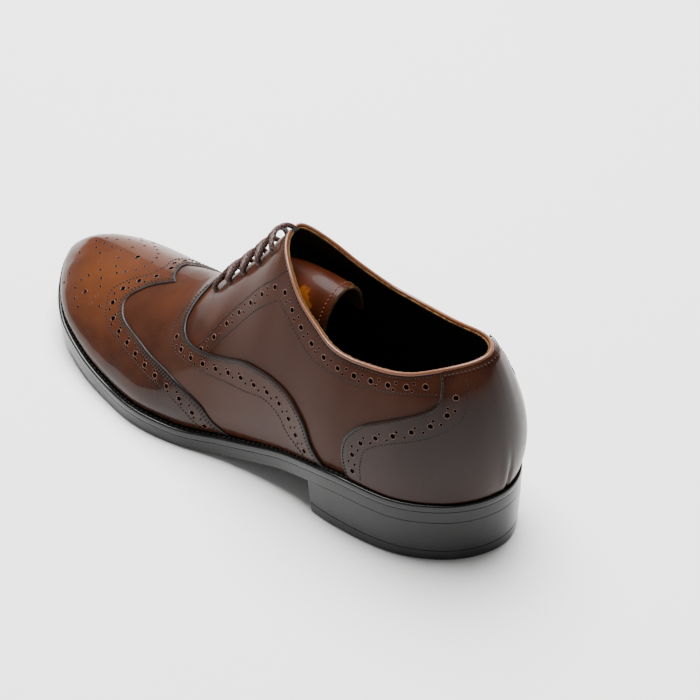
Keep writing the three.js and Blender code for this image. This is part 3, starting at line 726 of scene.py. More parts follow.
def leather(name, colour, burnish, warm, polish=0.35, mottle=0.35, grain=0.12, coat=0.22, sheen=0.05):
    """Waxed leather: a soft sheen under an even, clear coat of polish."""
    if name in bpy.data.materials:
        return bpy.data.materials[name]
    material, tree, shader = principled(name)
    node = tree.nodes.new("ShaderNodeGroup")
    node.node_tree = leather_group()
    values = {"Leather": rgb(colour), "Burnish": rgb(burnish), "Warm": rgb(warm), "Mottle": mottle,
              "Polish": polish, "Grain Depth": grain}
    for key, value in values.items():
        node.inputs[key].default_value = value
    for key, socket in (("Colour", "Base Color"), ("Roughness", "Roughness"), ("Normal", "Normal")):
        link(tree, node.outputs[key], shader.inputs[socket])
    shader.inputs["Coat Weight"].default_value = coat
    shader.inputs["Specular IOR Level"].default_value = sheen
    shader.inputs["Coat Roughness"].default_value = 0.06
    shader.inputs["Coat IOR"].default_value = 1.5
    return material


def plain(name, colour, darker, scale, rough, bump, distance=0.0002, spec=0.5, coat=0.0):
    """A finish with two close tones, an uneven sheen and a fine relief, such as wax, thread or rubber."""
    if name in bpy.data.materials:
        return bpy.data.materials[name]
    material, tree, shader = principled(name)
    place = tree.nodes.new("ShaderNodeTexCoord").outputs["Object"]
    tone = tree.nodes.new("ShaderNodeAttribute")
    tone.attribute_name = "tone"
    fleck = noise_node(tree, place, scale, 4.0, 0.65)
    level = math_node(tree, "ADD", tone.outputs["Fac"], centred(tree, fleck, 1.2), clamp=True)
    link(tree, mix_colour(tree, level, rgb(darker), rgb(colour)), shader.inputs["Base Color"])
    uneven = centred(tree, fleck, 0.25)
    link(tree, math_node(tree, "ADD", uneven, rough, clamp=True), shader.inputs["Roughness"])
    node = tree.nodes.new("ShaderNodeBump")
    node.inputs["Strength"].default_value = bump
    node.inputs["Distance"].default_value = distance
    link(tree, fleck, node.inputs["Height"])
    link(tree, node.outputs["Normal"], shader.inputs["Normal"])
    shader.inputs["Specular IOR Level"].default_value = spec
    shader.inputs["Coat Weight"].default_value = coat
    shader.inputs["Coat Roughness"].default_value = 0.12
    return material


# Settings that a user would change
def colour_property(name, description, default):
    return bpy.props.FloatVectorProperty(name=name, description=description, default=default, size=3,
                                         min=0.0, max=1.0, subtype="COLOR")


def length_property(name, description, default):
    return bpy.props.FloatProperty(name=name, description=description, default=default * MM,
                                   min=0.0, unit="LENGTH", subtype="DISTANCE", precision=5)


class BrogueColours(bpy.types.PropertyGroup):
    cap: colour_property("Wing cap", "Leather of the toe cap", (0.053, 0.016, 0.0072))
    cap_warm: colour_property("Cap's warm tone", "Where the cap is polished light", (0.085, 0.026, 0.0085))
    counter: colour_property("Counter", "Leather round the heel", (0.024, 0.006, 0.0021))
    counter_dark: colour_property("Counter, polished dark", "Middle of the heel", (0.0105, 0.0023, 0.0009))
    vamp: colour_property("Vamp", "Leather over the toes' bend", (0.042, 0.0136, 0.0068))
    quarter: colour_property("Quarters", "Leather of the sides", (0.041, 0.0122, 0.0055))
    burnish: colour_property("Burnish", "Where the leather is polished dark", (0.009, 0.0042, 0.0032))
    binding: colour_property("Binding", "Rolled bead round the collar", (0.09, 0.027, 0.0085))
    raw: colour_property("Raw leather", "Cut edges and flesh side", (0.14, 0.075, 0.032))
    tongue: colour_property("Tongue", "Grain side of the tongue", (0.028, 0.0062, 0.0023))
    patch: colour_property("Patch", "Rubbed place on the tongue", (0.13, 0.036, 0.004))
    lace: colour_property("Laces", "Waxed braid", (0.05, 0.0205, 0.0155))
    sole: colour_property("Sole edges", "Waxed black", (0.012, 0.012, 0.012))
    lining: colour_property("Lining", "Inside of the shoe", (0.02, 0.0145, 0.012))
    thread: colour_property("Thread", "Stitches of the upper", (0.026, 0.0185, 0.0155))


class BroguePattern(bpy.types.PropertyGroup):
    pitch: length_property("Stitch pitch", "Distance from one stitch to the next", 1.8)
    stitch: length_property("Stitch length", "Length of a stitch", 1.35)
    thread: length_property("Thread", "Thickness of the thread", 0.68)
    edge: length_property("Edge distance", "From a cut edge to its first row of stitches", 1.1)
    large: length_property("Large holes", "Diameter of the large punches", 2.35)
    small: length_property("Small holes", "Diameter of the small punches", 1.25)
    seed: bpy.props.IntProperty(name="Seed", description="Unevenness of the hand work", default=7)


class BrogueLaces(bpy.types.PropertyGroup):
    diameter: length_property("Diameter", "Thickness of the lace", 2.5)
    braid: length_property("Braid pitch", "Length of one turn of the braid", 5.2)
    lift: length_property("Lift", "Height of the lace over the leather", 0.5)
    arch: length_property("Arch", "Further rise where the lace crosses", 2.6)


class BrogueStage(bpy.types.PropertyGroup):
    floor: colour_property("Floor", "Pale floor under the shoe", (0.9, 0.9, 0.89))
    key: bpy.props.FloatProperty(name="Key light", description="Strength of the overhead light",
                                 default=136.0, min=0.0, unit="POWER")
    sky: bpy.props.FloatProperty(name="Surroundings", description="Strength of the pale surroundings",
                                 default=0.3, min=0.0)


def group_property(name, description, kind):
    return bpy.props.PointerProperty(name=name, description=description, type=kind)


def settings():
    return bpy.context.scene.brogue


class BrogueSettings(bpy.types.PropertyGroup):
    colours: group_property("Colours", "Leather, lace and sole", BrogueColours)
    pattern: group_property("Pattern", "Stitches and holes", BroguePattern)
    laces: group_property("Laces", "The lace", BrogueLaces)
    stage: group_property("Stage", "Floor and light", BrogueStage)


def scaled(colour, share):
    return tuple(v * share for v in colour)


# Materials of this shoe
def cap_leather():
    c = settings().colours
    return leather("Cap leather", c.cap, c.burnish, c.cap_warm, mottle=0.45, coat=0.3)


def counter_leather():
    c = settings().colours
    return leather("Counter leather", c.counter, c.counter_dark, c.cap, mottle=0.35, coat=0.3)


def vamp_leather():
    c = settings().colours
    return leather("Vamp leather", c.vamp, c.burnish, c.cap, mottle=0.4)


def quarter_leather():
    c = settings().colours
    return leather("Quarter leather", c.quarter, c.burnish, c.vamp, polish=0.42, mottle=0.4, grain=0.18,
                   coat=0.12, sheen=0.04)


def edge_leather():
    c = settings().colours
    return leather("Inked edge", (0.014, 0.0095, 0.0085), (0.004, 0.003, 0.0028), c.quarter, polish=0.36,
                   mottle=0.3, grain=0.6, coat=0.03, sheen=0.2)


def lip_painted_highlight():
    c = settings().colours
    # The lip is two and a half times lighter than the cap: a painted highlight round each hole
    return plain("Punched lip", scaled(c.cap, 2.5), scaled(c.vamp, 0.7), 900, 0.35,
                 0.2, spec=0.45)


def lining_leather():
    c = settings().colours
    return plain("Lining leather", c.lining, (0.003, 0.002, 0.002), 500, 0.6, 0.2, spec=0.2)


def raw_leather():
    c = settings().colours
    return plain("Raw edge", c.raw, scaled(c.raw, 0.35), 1300, 0.95, 0.9, 0.0004, 0.1)


def binding_leather():
    c = settings().colours
    return leather("Binding leather", c.binding, scaled(c.binding, 0.3),
                   scaled(c.binding, 1.8), mottle=0.35, grain=0.2, coat=0.18, sheen=0.4)


def tongue_leather():
    """Polished dark leather with a pale patch where the finish is rubbed through."""
    c = settings().colours
    material = leather("Tongue leather", c.tongue, scaled(c.tongue, 0.4),
                       scaled(c.tongue, 1.6), mottle=0.3, coat=0.04, sheen=0.06)
    if "patch" in material.node_tree.nodes:
        return material
    tree = material.node_tree
    shader = tree.nodes["Principled BSDF"]
    leather_colour = shader.inputs["Base Color"].links[0].from_socket
    place = tree.nodes.new("ShaderNodeTexCoord").outputs["Object"]
    tone = tree.nodes.new("ShaderNodeAttribute")
    tone.name = "patch"
    tone.attribute_name = "tone"
    ragged = math_node(tree, "SUBTRACT", noise_node(tree, place, 160, 3.0), 0.5)
    level = math_node(tree, "ADD", tone.outputs["Fac"], math_node(tree, "MULTIPLY", ragged, 1.6))
    mask = math_node(tree, "MULTIPLY", math_node(tree, "SUBTRACT", level, 1.05), 9.0, clamp=True)
    link(tree, mix_colour(tree, mask, leather_colour, rgb(c.patch)), shader.inputs["Base Color"])
    return material


def black_wax():
    c = settings().colours
    return plain("Black wax", c.sole, (0.003, 0.003, 0.003), 120, 0.22, 0.12, 0.0003, 0.27, 0.07)


def black_rubber():
    return plain("Black rubber", (0.012, 0.012, 0.012), (0.005, 0.005, 0.005), 700, 0.45, 0.2, 0.0003, 0.3)


def dark_thread():
    c = settings().colours
    return plain("Dark thread", c.thread, scaled(c.thread, 0.4), 3000, 0.6, 0.5, 0.0002, 0.2)


def pale_thread():
    c = settings().colours
    return plain("Pale thread", scaled(c.raw, 0.8), scaled(c.raw, 0.4), 3000, 0.7,
                 0.5, 0.0002, 0.2)


def lace_braid():
    c = settings().colours
    # The light colour carries the braid's painted highlights, the dark one its painted shade
    return plain("Lace braid", scaled(c.lace, 1.7), scaled(c.lace, 0.16), 1800, 0.5,
                 0.4, 0.0002, 0.35)


# Near black, standing for the shade inside holes, slits and the collar's groove: painted shade
def painted_shade_dark():
    return plain("Hole bottom", (0.003, 0.002, 0.0018), (0.001, 0.001, 0.001), 900, 0.9, 0.3, spec=0.0)


# Tone of the leather: 0 gives the burnish colour, 0.5 the leather's own colour and 1 its warm colour; lighter
# bands low on the vamp, the quarters and the counter are painted reflections of the floor
def bell(value, middle, width):
    return np.exp(-((value - middle) / width) ** 2)


def aside_of(station):
    return np.where(station > TOE, STATIONS - station, station)


def cap_tone(station, rise):
    s = aside_of(station)
    warm = 0.45 * bell(s, 11.0, 1.6) * bell(rise, 0.75, 0.28)
    dark = 0.2 * bell(rise, 0.12, 0.2) + 0.2 * bell(s, 7.0, 1.2)
    return 0.46 + warm - dark


def vamp_tone(station, rise):
    s = aside_of(station)
    near = np.clip(s - smooth(VAMP_EDGE, "rise", "station", rise), 0, 3)
    front = np.clip(smooth(CAP_EDGE, "rise", "station", rise) - s, 0, 3)
    warm = 0.45 * bell(s, 8.5, 0.35) * bell(rise, 0.8, 0.12)
    # The band at rise 0.24 lightens the low vamp: a painted reflection of the floor
    light = 0.5 + warm + 0.3 * bell(rise, 0.24, 0.1)
    return light - 0.16 * np.exp(-near / 0.25) - 0.12 * np.exp(-front / 0.12)


def quarter_tone(station, rise):
    s = aside_of(station)
    # The lighter patch low at station 4 is a painted reflection of the floor
    return 0.5 + 0.2 * bell(s, 4.0, 0.8) * bell(rise, 0.25, 0.2) - 0.15 * bell(s, 7.3, 0.4)


def counter_tone(station, rise):
    s = aside_of(station)
    # The lighter front part low on the counter (station 3.2) and the lighter band at its foot are painted
    # reflections of the floor
    warm = 0.75 * bell(rise, 0.52, 0.1) * bell(s, 1.1, 1.0) + 0.3 * bell(s, 3.2, 0.5)
    return 0.08 + warm + 0.16 * bell(rise, 0.05, 0.08)


# Creases and hollows of the worn leather, in millimetres along the surface's normal
def relief(station, rise):
    s = aside_of(station)
    outer = station <= TOE
    turn = np.where(outer, station, station - STATIONS)
    pleat = -0.9 * bell(turn, 0.1, 0.06) * bell(rise, 0.06, 0.075)
    pleat = pleat + 0.4 * bell(turn, 0.3, 0.11) * bell(rise, 0.08, 0.09)
    flex = 0.0
    for at, deep, lean in ((8.12, 0.07, 0.9), (8.36, 0.1, 0.5), (8.66, 0.06, 0.8)):
        flex = flex - deep * bell(s + lean * (1 - rise), at, 0.09) * bell(rise, 0.78, 0.14)
    wave = 0.16 * np.sin(7 * s + 9 * rise) * np.sin(5 * s - 11 * rise) * bell(rise, 0.5, 0.3)
    pull = 0.0
    for at, high in eyelet_places()[0]:
        pull = pull - 0.55 * np.exp(-((s - at) / 0.13) ** 2 - ((rise - high) / 0.035) ** 2)
    return pleat + flex + wave * 0.6 + np.where(s < 8.2, pull, 0)


# Panels
STRIP = np.array([0, 0.3, 0.8, 1.4])  # widths of an inked, rounded edge
STRIP_DROP = np.array([0.45, 0.16, 0.03, 0])


def seam_station(seam, rise, move):
    """Station of a seam moved sideways by a distance; near the cap's tip it is held back more."""
    small = 0.01
    station = smooth(seam, "rise", "station", rise)
    low, high = np.maximum(rise - small, 0), np.minimum(rise + small, 1)
    run = unit(last_point(smooth(seam, "rise", "station", high), high)
               - last_point(smooth(seam, "rise", "station", low), low))
    along = (last_point(station + small, rise) - last_point(station - small, rise)) / (2 * small)
    across = np.linalg.norm(np.cross(along, run), axis=-1)
    least = np.where(rise > 0.86, 0.75, 0.3)
    return station + move / np.maximum(across, least * np.linalg.norm(along, axis=-1))


def panel(build, places, outer, base, tone, edges, inked=0, slots=(0, 1)):
    """A leather panel over a grid of places. outer and base are distances out of the last's surface.
    edges names the first or last column where it is a cut edge; inked counts its dark columns."""
    s, r = places[..., 0], places[..., 1]
    outer = np.broadcast_to(outer, s.shape) + relief(s, r)
    face = last_offset(s, r, outer)
    index = build.add(face, tone(s, r))
    width = index.shape[1]
    left = inked + 1 if "first_column" in edges else 1
    right = inked + 1 if "last_column" in edges else 1
    if left > 1:
        build.quads(index[:, :left], slots[1], flip=True)
    build.quads(index[:, left - 1:width - right + 1], slots[0], flip=True)
    if right > 1:
        build.quads(index[:, width - right:], slots[1], flip=True)
    back = last_offset(s, r, np.full(s.shape, base))
    under = build.add(back, 0.3)
    build.quads(under, slots[0])
    sides = {"first_row": np.s_[0, :], "last_row": np.s_[-1, :],
             "first_column": np.s_[:, 0], "last_column": np.s_[:, -1]}
    for edge, flip in (("first_row", False), ("last_row", True), ("first_column", True),
                       ("last_column", False)):
        here = sides[edge]
        slot = slots[1] if edge in edges else slots[0]
        build.quads(np.stack([index[here], under[here]]), slot, flip=flip)


def strip_drop(count, first, last):
    """How far a panel's columns fall towards its inked edges."""
    drop = np.zeros(count)
    if first:
        drop[:len(STRIP)] = STRIP_DROP
    if last:
        drop[-len(STRIP):] = STRIP_DROP[::-1]
    return drop


def cap_panel():
    rises = np.concatenate([np.linspace(0, 0.86, 62), np.linspace(0.868, 1, 26)])
    near = np.stack([seam_station(CAP_EDGE, rises, move) for move in STRIP], 1)
    far = STATIONS - np.stack([seam_station(CAP_INNER_EDGE, rises, move) for move in STRIP], 1)
    share = np.linspace(0, 1, 170)[1:-1]
    middle = near[:, -1:] + (far[:, -1:] - near[:, -1:]) * share
    stations = np.concatenate([near, middle, far[:, ::-1]], 1)[:, ::-1]
    places = np.stack([stations, np.broadcast_to(rises[:, None], stations.shape)], -1)
    thick = GAP - WALL_DEPTH + CAP
    outer = np.broadcast_to(thick - strip_drop(stations.shape[1], True, True), stations.shape)
    build = Build()
    panel(build, places, outer, GAP - WALL_DEPTH, cap_tone, ("first_column", "last_column"),
          inked=len(STRIP) - 1)
    return build


def vamp_panel():
    rises = np.concatenate([np.linspace(0, 0.86, 70), np.linspace(0.868, 1, 26)])
    sides = []
    for edge in (CAP_EDGE, CAP_INNER_EDGE):
        start = np.stack([seam_station(VAMP_EDGE, rises, move) for move in STRIP], 1)
        end = smooth(edge, "rise", "station", rises)[:, None] + 0.15
        share = np.linspace(0, 1, 50)[1:]
        sides.append(np.concatenate([start, start[:, -1:] + (end - start[:, -1:]) * share], 1))
    full = np.concatenate([STATIONS - sides[1], sides[0][::-1][1:]])
    high = np.concatenate([rises, rises[::-1][1:]])
    places = np.stack([full, np.broadcast_to(high[:, None], full.shape)], -1)
    count = full.shape[1]
    along = np.clip((np.arange(count) - len(STRIP)) / (count - len(STRIP)), 0, 1)
    fall = np.clip((along - 0.3) / 0.7, 0, 1) ** 1.5
    thick = OVERLAY + GAP - WALL_DEPTH
    outer = np.broadcast_to(thick - 0.85 * fall - strip_drop(count, True, False), full.shape)
    build = Build()
    panel(build, places, outer, GAP - WALL_DEPTH - 0.1, vamp_tone, ("first_column",),
          inked=len(STRIP) - 1)
    return build


def counter_panel():
    count = 170
    share = np.linspace(-1, 1, count)
    heights = np.concatenate([np.linspace(0, 0.9, 70), np.linspace(0.91, 1, 16)])
    rows = []
    for height in heights:
        reach = smooth(COUNTER_EDGE, "rise", "station", min(height * 0.53, 0.85))
        for _ in range(3):
            top = first_rise((share * reach + STATIONS) % STATIONS, over_collar)
            reach = smooth(COUNTER_EDGE, "rise", "station", float(height * top[-1]))
        rows.append(np.stack([(share * reach + STATIONS) % STATIONS, height * top], -1))
    places = np.array(rows)
    tuck = np.clip((heights - 0.93) / 0.07, 0, 1)[:, None] * 1.05
    drop = np.zeros(count)
    drop[[0, 1, -2, -1]] = (0.4, 0.08, 0.08, 0.4)
    build = Build()
    panel(build, places, OVERLAY + GAP - WALL_DEPTH - tuck - drop, GAP - WALL_DEPTH - 0.25, counter_tone,
          ("first_column", "last_column"), inked=1)
    return build


def upper_shell():
    stations = np.unique(np.round(np.concatenate([
        np.arange(0, STATIONS, 0.08), [CORNERS[0], STATIONS - CORNERS[1], THROAT, STATIONS - THROAT],
        [CORNERS[0] + 0.02, STATIONS - CORNERS[1] - 0.02, THROAT - 0.02, STATIONS - THROAT + 0.02],
    ]), 6))
    top = rib_top(stations)
    share = 1 - (1 - np.linspace(0, 1, 71)) ** 1.1
    rises = top[:, None] * share
    s = np.broadcast_to(stations[:, None], rises.shape)
    outer = last_offset(s, rises, -WALL_DEPTH + relief(s, rises))
    inner = last_offset(s, rises, np.full(s.shape, -WALL_DEPTH - WALL))
    build = Build()
    face = build.add(outer, quarter_tone(s, rises))
    back = build.add(inner, 0.5)
    ring = lambda index: np.concatenate([index, index[:1]])
    build.quads(ring(face), 0)
    build.quads(ring(back), 1, flip=True)
    build.quads(np.stack([ring(face)[:, 0], ring(back)[:, 0]]), 1)
    aside = aside_of(stations)
    after = np.roll(aside, -1)
    for i in range(len(stations)):
        j = (i + 1) % len(stations)
        if aside[i] >= THROAT and after[i] >= THROAT:
            continue
        build.quads(np.array([[face[i, -1], face[j, -1]], [back[i, -1], back[j, -1]]]), 2, flip=True)
    return build


# Binding, tongue and laces
def rim_frames(spacing):
    stations = np.arange(-CORNERS[1], CORNERS[0] + spacing / 2, spacing)
    stations[-1] = CORNERS[0]
    at = (stations + STATIONS) % STATIONS
    rise = first_rise(at, over_collar)
    out = last_normal(at, rise)
    up = unit(last_point(at, rise + 0.01) - last_point(at, rise - 0.01))
    return at, last_offset(at, rise, np.full(at.shape, -WALL_DEPTH)), out, up


def binding_bead():
    """Profile, seen from the outer face of the quarter: the bead with a painted highlight, a groove in
    painted shade and the raw edge of the lining.
    """
    rng = np.random.default_rng(settings().pattern.seed)
    _, face, out, up = rim_frames(0.04)
    turn = np.linspace(-0.42 * np.pi, 1.02 * np.pi, 14)
    bead = [(-0.42 + 0.92 * math.cos(a), 0.78 + 0.95 * math.sin(a)) for a in turn]
    raw = [(-1.45, 0.3), (-1.5, 1.2), (-1.75, 1.55), (-2.1, 1.45), (-2.3, 1.1), (-2.35, 0.5)]
    profile = [(0.1, -0.35), *bead, *raw, (-2.4, -1.2), (-1.2, -1.2)]
    first = len(bead) + 1
    slots = [0] * first + [1] * (len(raw) - 1) + [3, 3, 3]
    # The face between the bead and the raw edge takes the near-black painted shade of a groove
    slots[first - 1] = 2
    rough = np.zeros((len(face), len(profile), 2))
    rough[:, first + 1:first + len(raw) - 1] = rng.normal(0, 0.09, (len(face), len(raw) - 2, 2))
    place = np.array(profile)[None] + rough
    points = face[:, None] + out[:, None] * place[..., :1] + up[:, None] * place[..., 1:]
    # Tones across the profile: 0.2 darkens the bead's foot against the quarter as painted shade, and the
    # bead's own tones lighten its upper outer side as a painted highlight
    bead_painted_highlight = 0.45 + 0.25 * np.sin(np.linspace(0.2, 2.9, len(bead)))
    tones = np.concatenate([[0.2], bead_painted_highlight, np.full(len(raw), 0.5), [0.3, 0.3]])
    tones = tones + rng.normal(0, 0.05, (len(face), 1)).cumsum(0) * 0.2
    build = Build()
    index = build.add(points, np.clip(tones, 0.1, 0.9))
    for k in range(len(profile)):
        j = (k + 1) % len(profile)
        build.quads(np.stack([index[:, k], index[:, j]], 1), slots[k])
    for at, flip in ((0, False), (-1, True)):
        middle = build.add(points[at].mean(0)[None], 0.4)
        ends = np.stack([np.full(len(profile), middle[0]), index[at]])
        build.quads(ends, 0, around=True, flip=flip)
    return build


def tongue_points(deeper, steps, sides):
    first, end = TONGUE_SECTIONS["along"][-1], TONGUE_SECTIONS["along"][0]
    clear = WALL_DEPTH + WALL + 2 * GAP
    rows = []
    for i in range(steps + 1):
        along = first + (end - first) * i / steps
        at = lambda column, where=along: float(smooth(TONGUE_SECTIONS, "along", column, where))
        slope = (at("height", along + 0.01) - at("height", along - 0.01)) * INSTEP_HEIGHT / (0.02 * LENGTH)
        tilt = math.hypot(1, slope)
        drop = at("drop") * TONGUE_WIDTH - deeper
        row = []
        for j in range(sides + 1):
            angle = math.pi * (j / sides - 0.5)
            half = at("inner" if angle < 0 else "outer") * TONGUE_WIDTH - deeper
            fall = deeper + drop * (1 - math.cos(angle))
            p = np.array([along * LENGTH + fall * slope / tilt,
                          at("across") * SOLE_WIDTH + half * math.sin(angle),
                          at("height") * INSTEP_HEIGHT - fall / tilt])
            row.append(surface().kept_inside(p, clear + deeper))
        rows.append(row)
    return np.array(rows)


def tongue_sheet():
    rng = np.random.default_rng(5)
    top = tongue_points(0.0, 80, 40)
    under = tongue_points(TONGUE, 80, 40)
    share = np.linspace(0, 1, 81)[:, None]
    across = np.linspace(0, 1, 41)[None, :]
    patch = bell(share, 0.83, 0.07) * bell(across, 0.8, 0.13)
    tone = 0.45 + 1.2 * patch + 0.2 * bell(share, 0.97, 0.03)
    top[-1] = top[-2] + (top[-1] - top[-2]) * 0.7
    build = Build()
    face = build.add(top, tone)
    back = build.add(under, 0.45)
    build.quads(face, 0)
    build.quads(back, 1, flip=True)
    edges = ((np.s_[0, :], False), (np.s_[-1, :], True), (np.s_[:, 0], True), (np.s_[:, -1], False))
    for here, flip in edges:
        middle = (top[here] * 0.5 + under[here] * 0.5) + rng.normal(0, 0.12, under[here].shape)
        if here == np.s_[-1, :]:
            middle = middle + unit(top[-1] - top[-3]) * 0.3
        rows = np.stack([face[here], build.add(middle, 0.55), back[here]])
        build.quads(rows, 1, flip=not flip)
    return build, top


@functools.lru_cache(maxsize=None)
def eyelet_places():
    """Station and rise of each eyelet, from the lowest to the highest, of the outer and the inner side."""
    places = []
    for inside in (False, True):
        side = []
        for row in range(EYELET_ROWS):
            x = LENGTH * (EYELET_LOW + (EYELET_HIGH - EYELET_LOW) * row / (EYELET_ROWS - 1))
            y = float(crest_across(x)) + (-EYELET_INSET if inside else EYELET_INSET)
            side.append(tuple(surface().under(x, y)))
        places.append(side)
    return places


def lace_path(places, low, high, outer_first):
    lace = settings().laces
    radius = lace.diameter / MM / 2
    lift = -WALL_DEPTH + lace.lift / MM + radius
    arch = lace.arch / MM * (0.5 if low == high else 1.0)
    start = places[0 if outer_first else 1][low]
    end = places[1 if outer_first else 0][high]
    fold = lambda place: np.array([aside_of(place[0]), place[1]])
    first, last = fold(start), fold(end)
    middle = (first[0] + last[0]) / 2
    f = np.linspace(0, 1, 22)

    def half(place, inside):
        at = place[0] + (middle - place[0]) * f
        rise = place[1] + (1 - place[1]) * f
        out = lift + arch * np.sin(np.pi / 2 * f)
        return last_offset(STATIONS - at if inside else at, rise, out)

    def into(place, inside):
        at = STATIONS - place[0] if inside else place[0]
        return last_offset(np.array([at]), np.array([place[1]]), np.array([-WALL_DEPTH - radius * 0.6]))

    path = np.concatenate([into(first, not outer_first), half(first, not outer_first),
                           half(last, outer_first)[::-1][1:], into(last, outer_first)])
    for _ in range(3):
        path[1:-1] = (path[:-2] + 2 * path[1:-1] + path[2:]) / 4
    length = np.concatenate([[0], np.cumsum(np.linalg.norm(np.diff(path, axis=0), axis=1))])
    at = np.linspace(0, length[-1], int(length[-1] / 0.22))
    return np.stack([np.interp(at, length, path[:, k]) for k in range(3)], -1)


def braided_laces():
    lace = settings().laces
    places = eyelet_places()
    radius = lace.diameter / MM / 2
    pitch = lace.braid / MM

    def weave(length, turn):
        a = np.cos(4 * turn + 2 * np.pi * 2 * length / pitch)
        b = np.cos(4 * turn - 2 * np.pi * 2 * length / pitch)
        return np.maximum(a, b)

    build = Build()
    crossings = [(row - 1, row, side) for row in range(1, EYELET_ROWS) for side in (True, False)]
    for low, high, side in [(0, 0, True), *crossings]:
        path = lace_path(places, low, high, side)
        # The tone lightens the braid's raised crowns and darkens the hollows between them: painted highlights
        # and painted shade
        tube(build, path, radius, 20, wave=lambda l, t: 0.96 + 0.1 * weave(l, t),
             tone=lambda l, t: 0.2 + 0.6 * weave(l, t))
    return build


# The sole
def edge_stations(per_row):
    return np.arange(0, STATIONS, 1 / per_row)


def plate_rings(stations, rows):
    """Closed rings round the sole: each row is an inset and a function of the place along."""
    rings = []
    for inset, height in rows:
        x, y, _ = edge_point(stations, inset)
        rings.append(np.stack([x, y, height(x)], -1))
    return np.array(rings)


def close_plate(build, ring, slot, flip):
    """Rungs across a closed ring, from each outer vertex to its mirror."""
    half = len(ring) // 2
    left = ring[:half + 1]
    right = np.concatenate([ring[:1], ring[half:][::-1]])
    build.quads(np.stack([left, right], 1), slot, flip=flip)


def outsole_plate():
    stations = edge_stations(14)
    soft = 0.12
    rings = plate_rings(stations, [
        (1.2, outsole_top), (0.15, lambda x: outsole_top(x) - 0.02), (0.0, lambda x: outsole_top(x) - soft),
        (-0.12, lambda x: outsole_top(x) - OUTSOLE / 2), (0.0, lambda x: sole_bottom(x) + soft),
        (0.3, lambda x: sole_bottom(x) + 0.1), (0.9, sole_bottom), (5.0, sole_bottom)])
    build = Build()
    index = build.add(rings, 0.5)
    build.quads(index, 0, around=True, flip=False)
    close_plate(build, index[0], 0, True)
    close_plate(build, index[-1], 1, False)
    return build


def welt_ring():
    stations = edge_stations(14)
    under = lambda x: outsole_top(x) + GAP / 3
    rings = plate_rings(stations, [
        (WELT_RING, under), (WELT_RING, welt_top), (3.0, welt_top), (2.2, lambda x: welt_top(x) - 0.12),
        (1.4, welt_top), (0.5, welt_top), (0.1, lambda x: welt_top(x) - 0.3),
        (-0.12, lambda x: welt_top(x) - 1.0), (-0.1, lambda x: under(x) + 0.3),
        (0.0, lambda x: under(x) + 0.1),
        (0.15, under), (WELT_RING, under)])
    build = Build()
    index = build.add(rings, 0.5)
    build.quads(index, 0, around=True, flip=False)
    return build


def heel_rings(heights, insets):
    low, high = 0.0, 6.0
    for _ in range(40):
        middle = (low + high) / 2
        if edge_point(np.array(middle))[0] < HEEL_BREAST:
            low = middle
        else:
            high = middle
    steps = 160
    stations = low - 2 * low * np.arange(steps + 1) / steps
    breast = 28
    rings = []
    for height, inset in zip(heights, insets):
        share = 1 - height(edge_point(stations)[0]) / HEEL_RISE
        at, across, _ = edge_point(stations, HEEL_TAPER * share + inset)
        at = np.minimum(at, HEEL_BREAST - HEEL_TAPER * share - inset)
        line = np.linspace(across[-1], across[0], breast)[1:-1]
        face_x = np.full(breast - 2, min(at[0], at[-1]))
        face = np.stack([face_x, line, height(face_x)], -1)
        rings.append(np.concatenate([np.stack([at, across, height(at)], -1), face]))
    return np.array(rings)


def heel_block(top, bottom, slot_bottom):
    soft = 0.2
    heights = [top, lambda x: top(x) - 0.1, lambda x: top(x) - soft]
    insets = [0.6, 0.15, 0.0]
    for f in (0.25, 0.5, 0.75):
        heights.append(lambda x, f=f: (top(x) - soft) * (1 - f) + (bottom(x) + soft) * f)
        insets.append(-0.1)
    heights += [lambda x: bottom(x) + soft, lambda x: bottom(x) + 0.08, bottom]
    insets += [0.0, 0.15, 0.6]
    rings = heel_rings(heights, insets)
    build = Build()
    index = build.add(rings, 0.5)
    build.quads(index, 0, around=True, flip=True)
    for at, slot, flip in ((0, 0, False), (-1, slot_bottom, True)):
        middle = build.add(rings[at].mean(0)[None], 0.5)
        ends = np.stack([np.full(rings.shape[1], middle[0]), index[at]])
        build.quads(ends, slot, around=True, flip=flip)
    return build


def insole_plate():
    stations = edge_stations(8)
    top = lambda x: welt_top(x) + INSOLE_PROUD
    under = lambda x: outsole_top(x) + GAP
    inset = INSOLE_INSET
    rings = plate_rings(stations, [(inset + 1.0, top), (inset + 0.2, lambda x: top(x) - 0.2),
                                   (inset, lambda x: top(x) - 0.9), (inset, under)])
    build = Build()
    index = build.add(rings, 0.5)
    build.quads(index, 0, around=True, flip=False)
    close_plate(build, index[0], 0, True)
    close_plate(build, index[-1], 0, False)
    return build


# What repeats: stitches and punched holes, set on points by Geometry Nodes
def points_object(name, points, facing, run, grow):
    data = bpy.data.meshes.new(name)
    data.from_pydata(placed(points).tolist(), [], [])
    for key, values in (("facing", facing), ("run", run)):
        layer = data.attributes.new(key, "FLOAT_VECTOR", "POINT")
        layer.data.foreach_set("vector", np.asarray(values, np.float32).reshape(-1))
    layer = data.attributes.new("grow", "FLOAT", "POINT")
    layer.data.foreach_set("value", np.asarray(grow, np.float32))
    item = bpy.data.objects.new(name, data)
    bpy.context.scene.collection.objects.link(item)
    return item


def node(tree, kind, **values):
    made = tree.nodes.new(kind)
    for key, value in values.items():
        setattr(made, key, value)
    return made


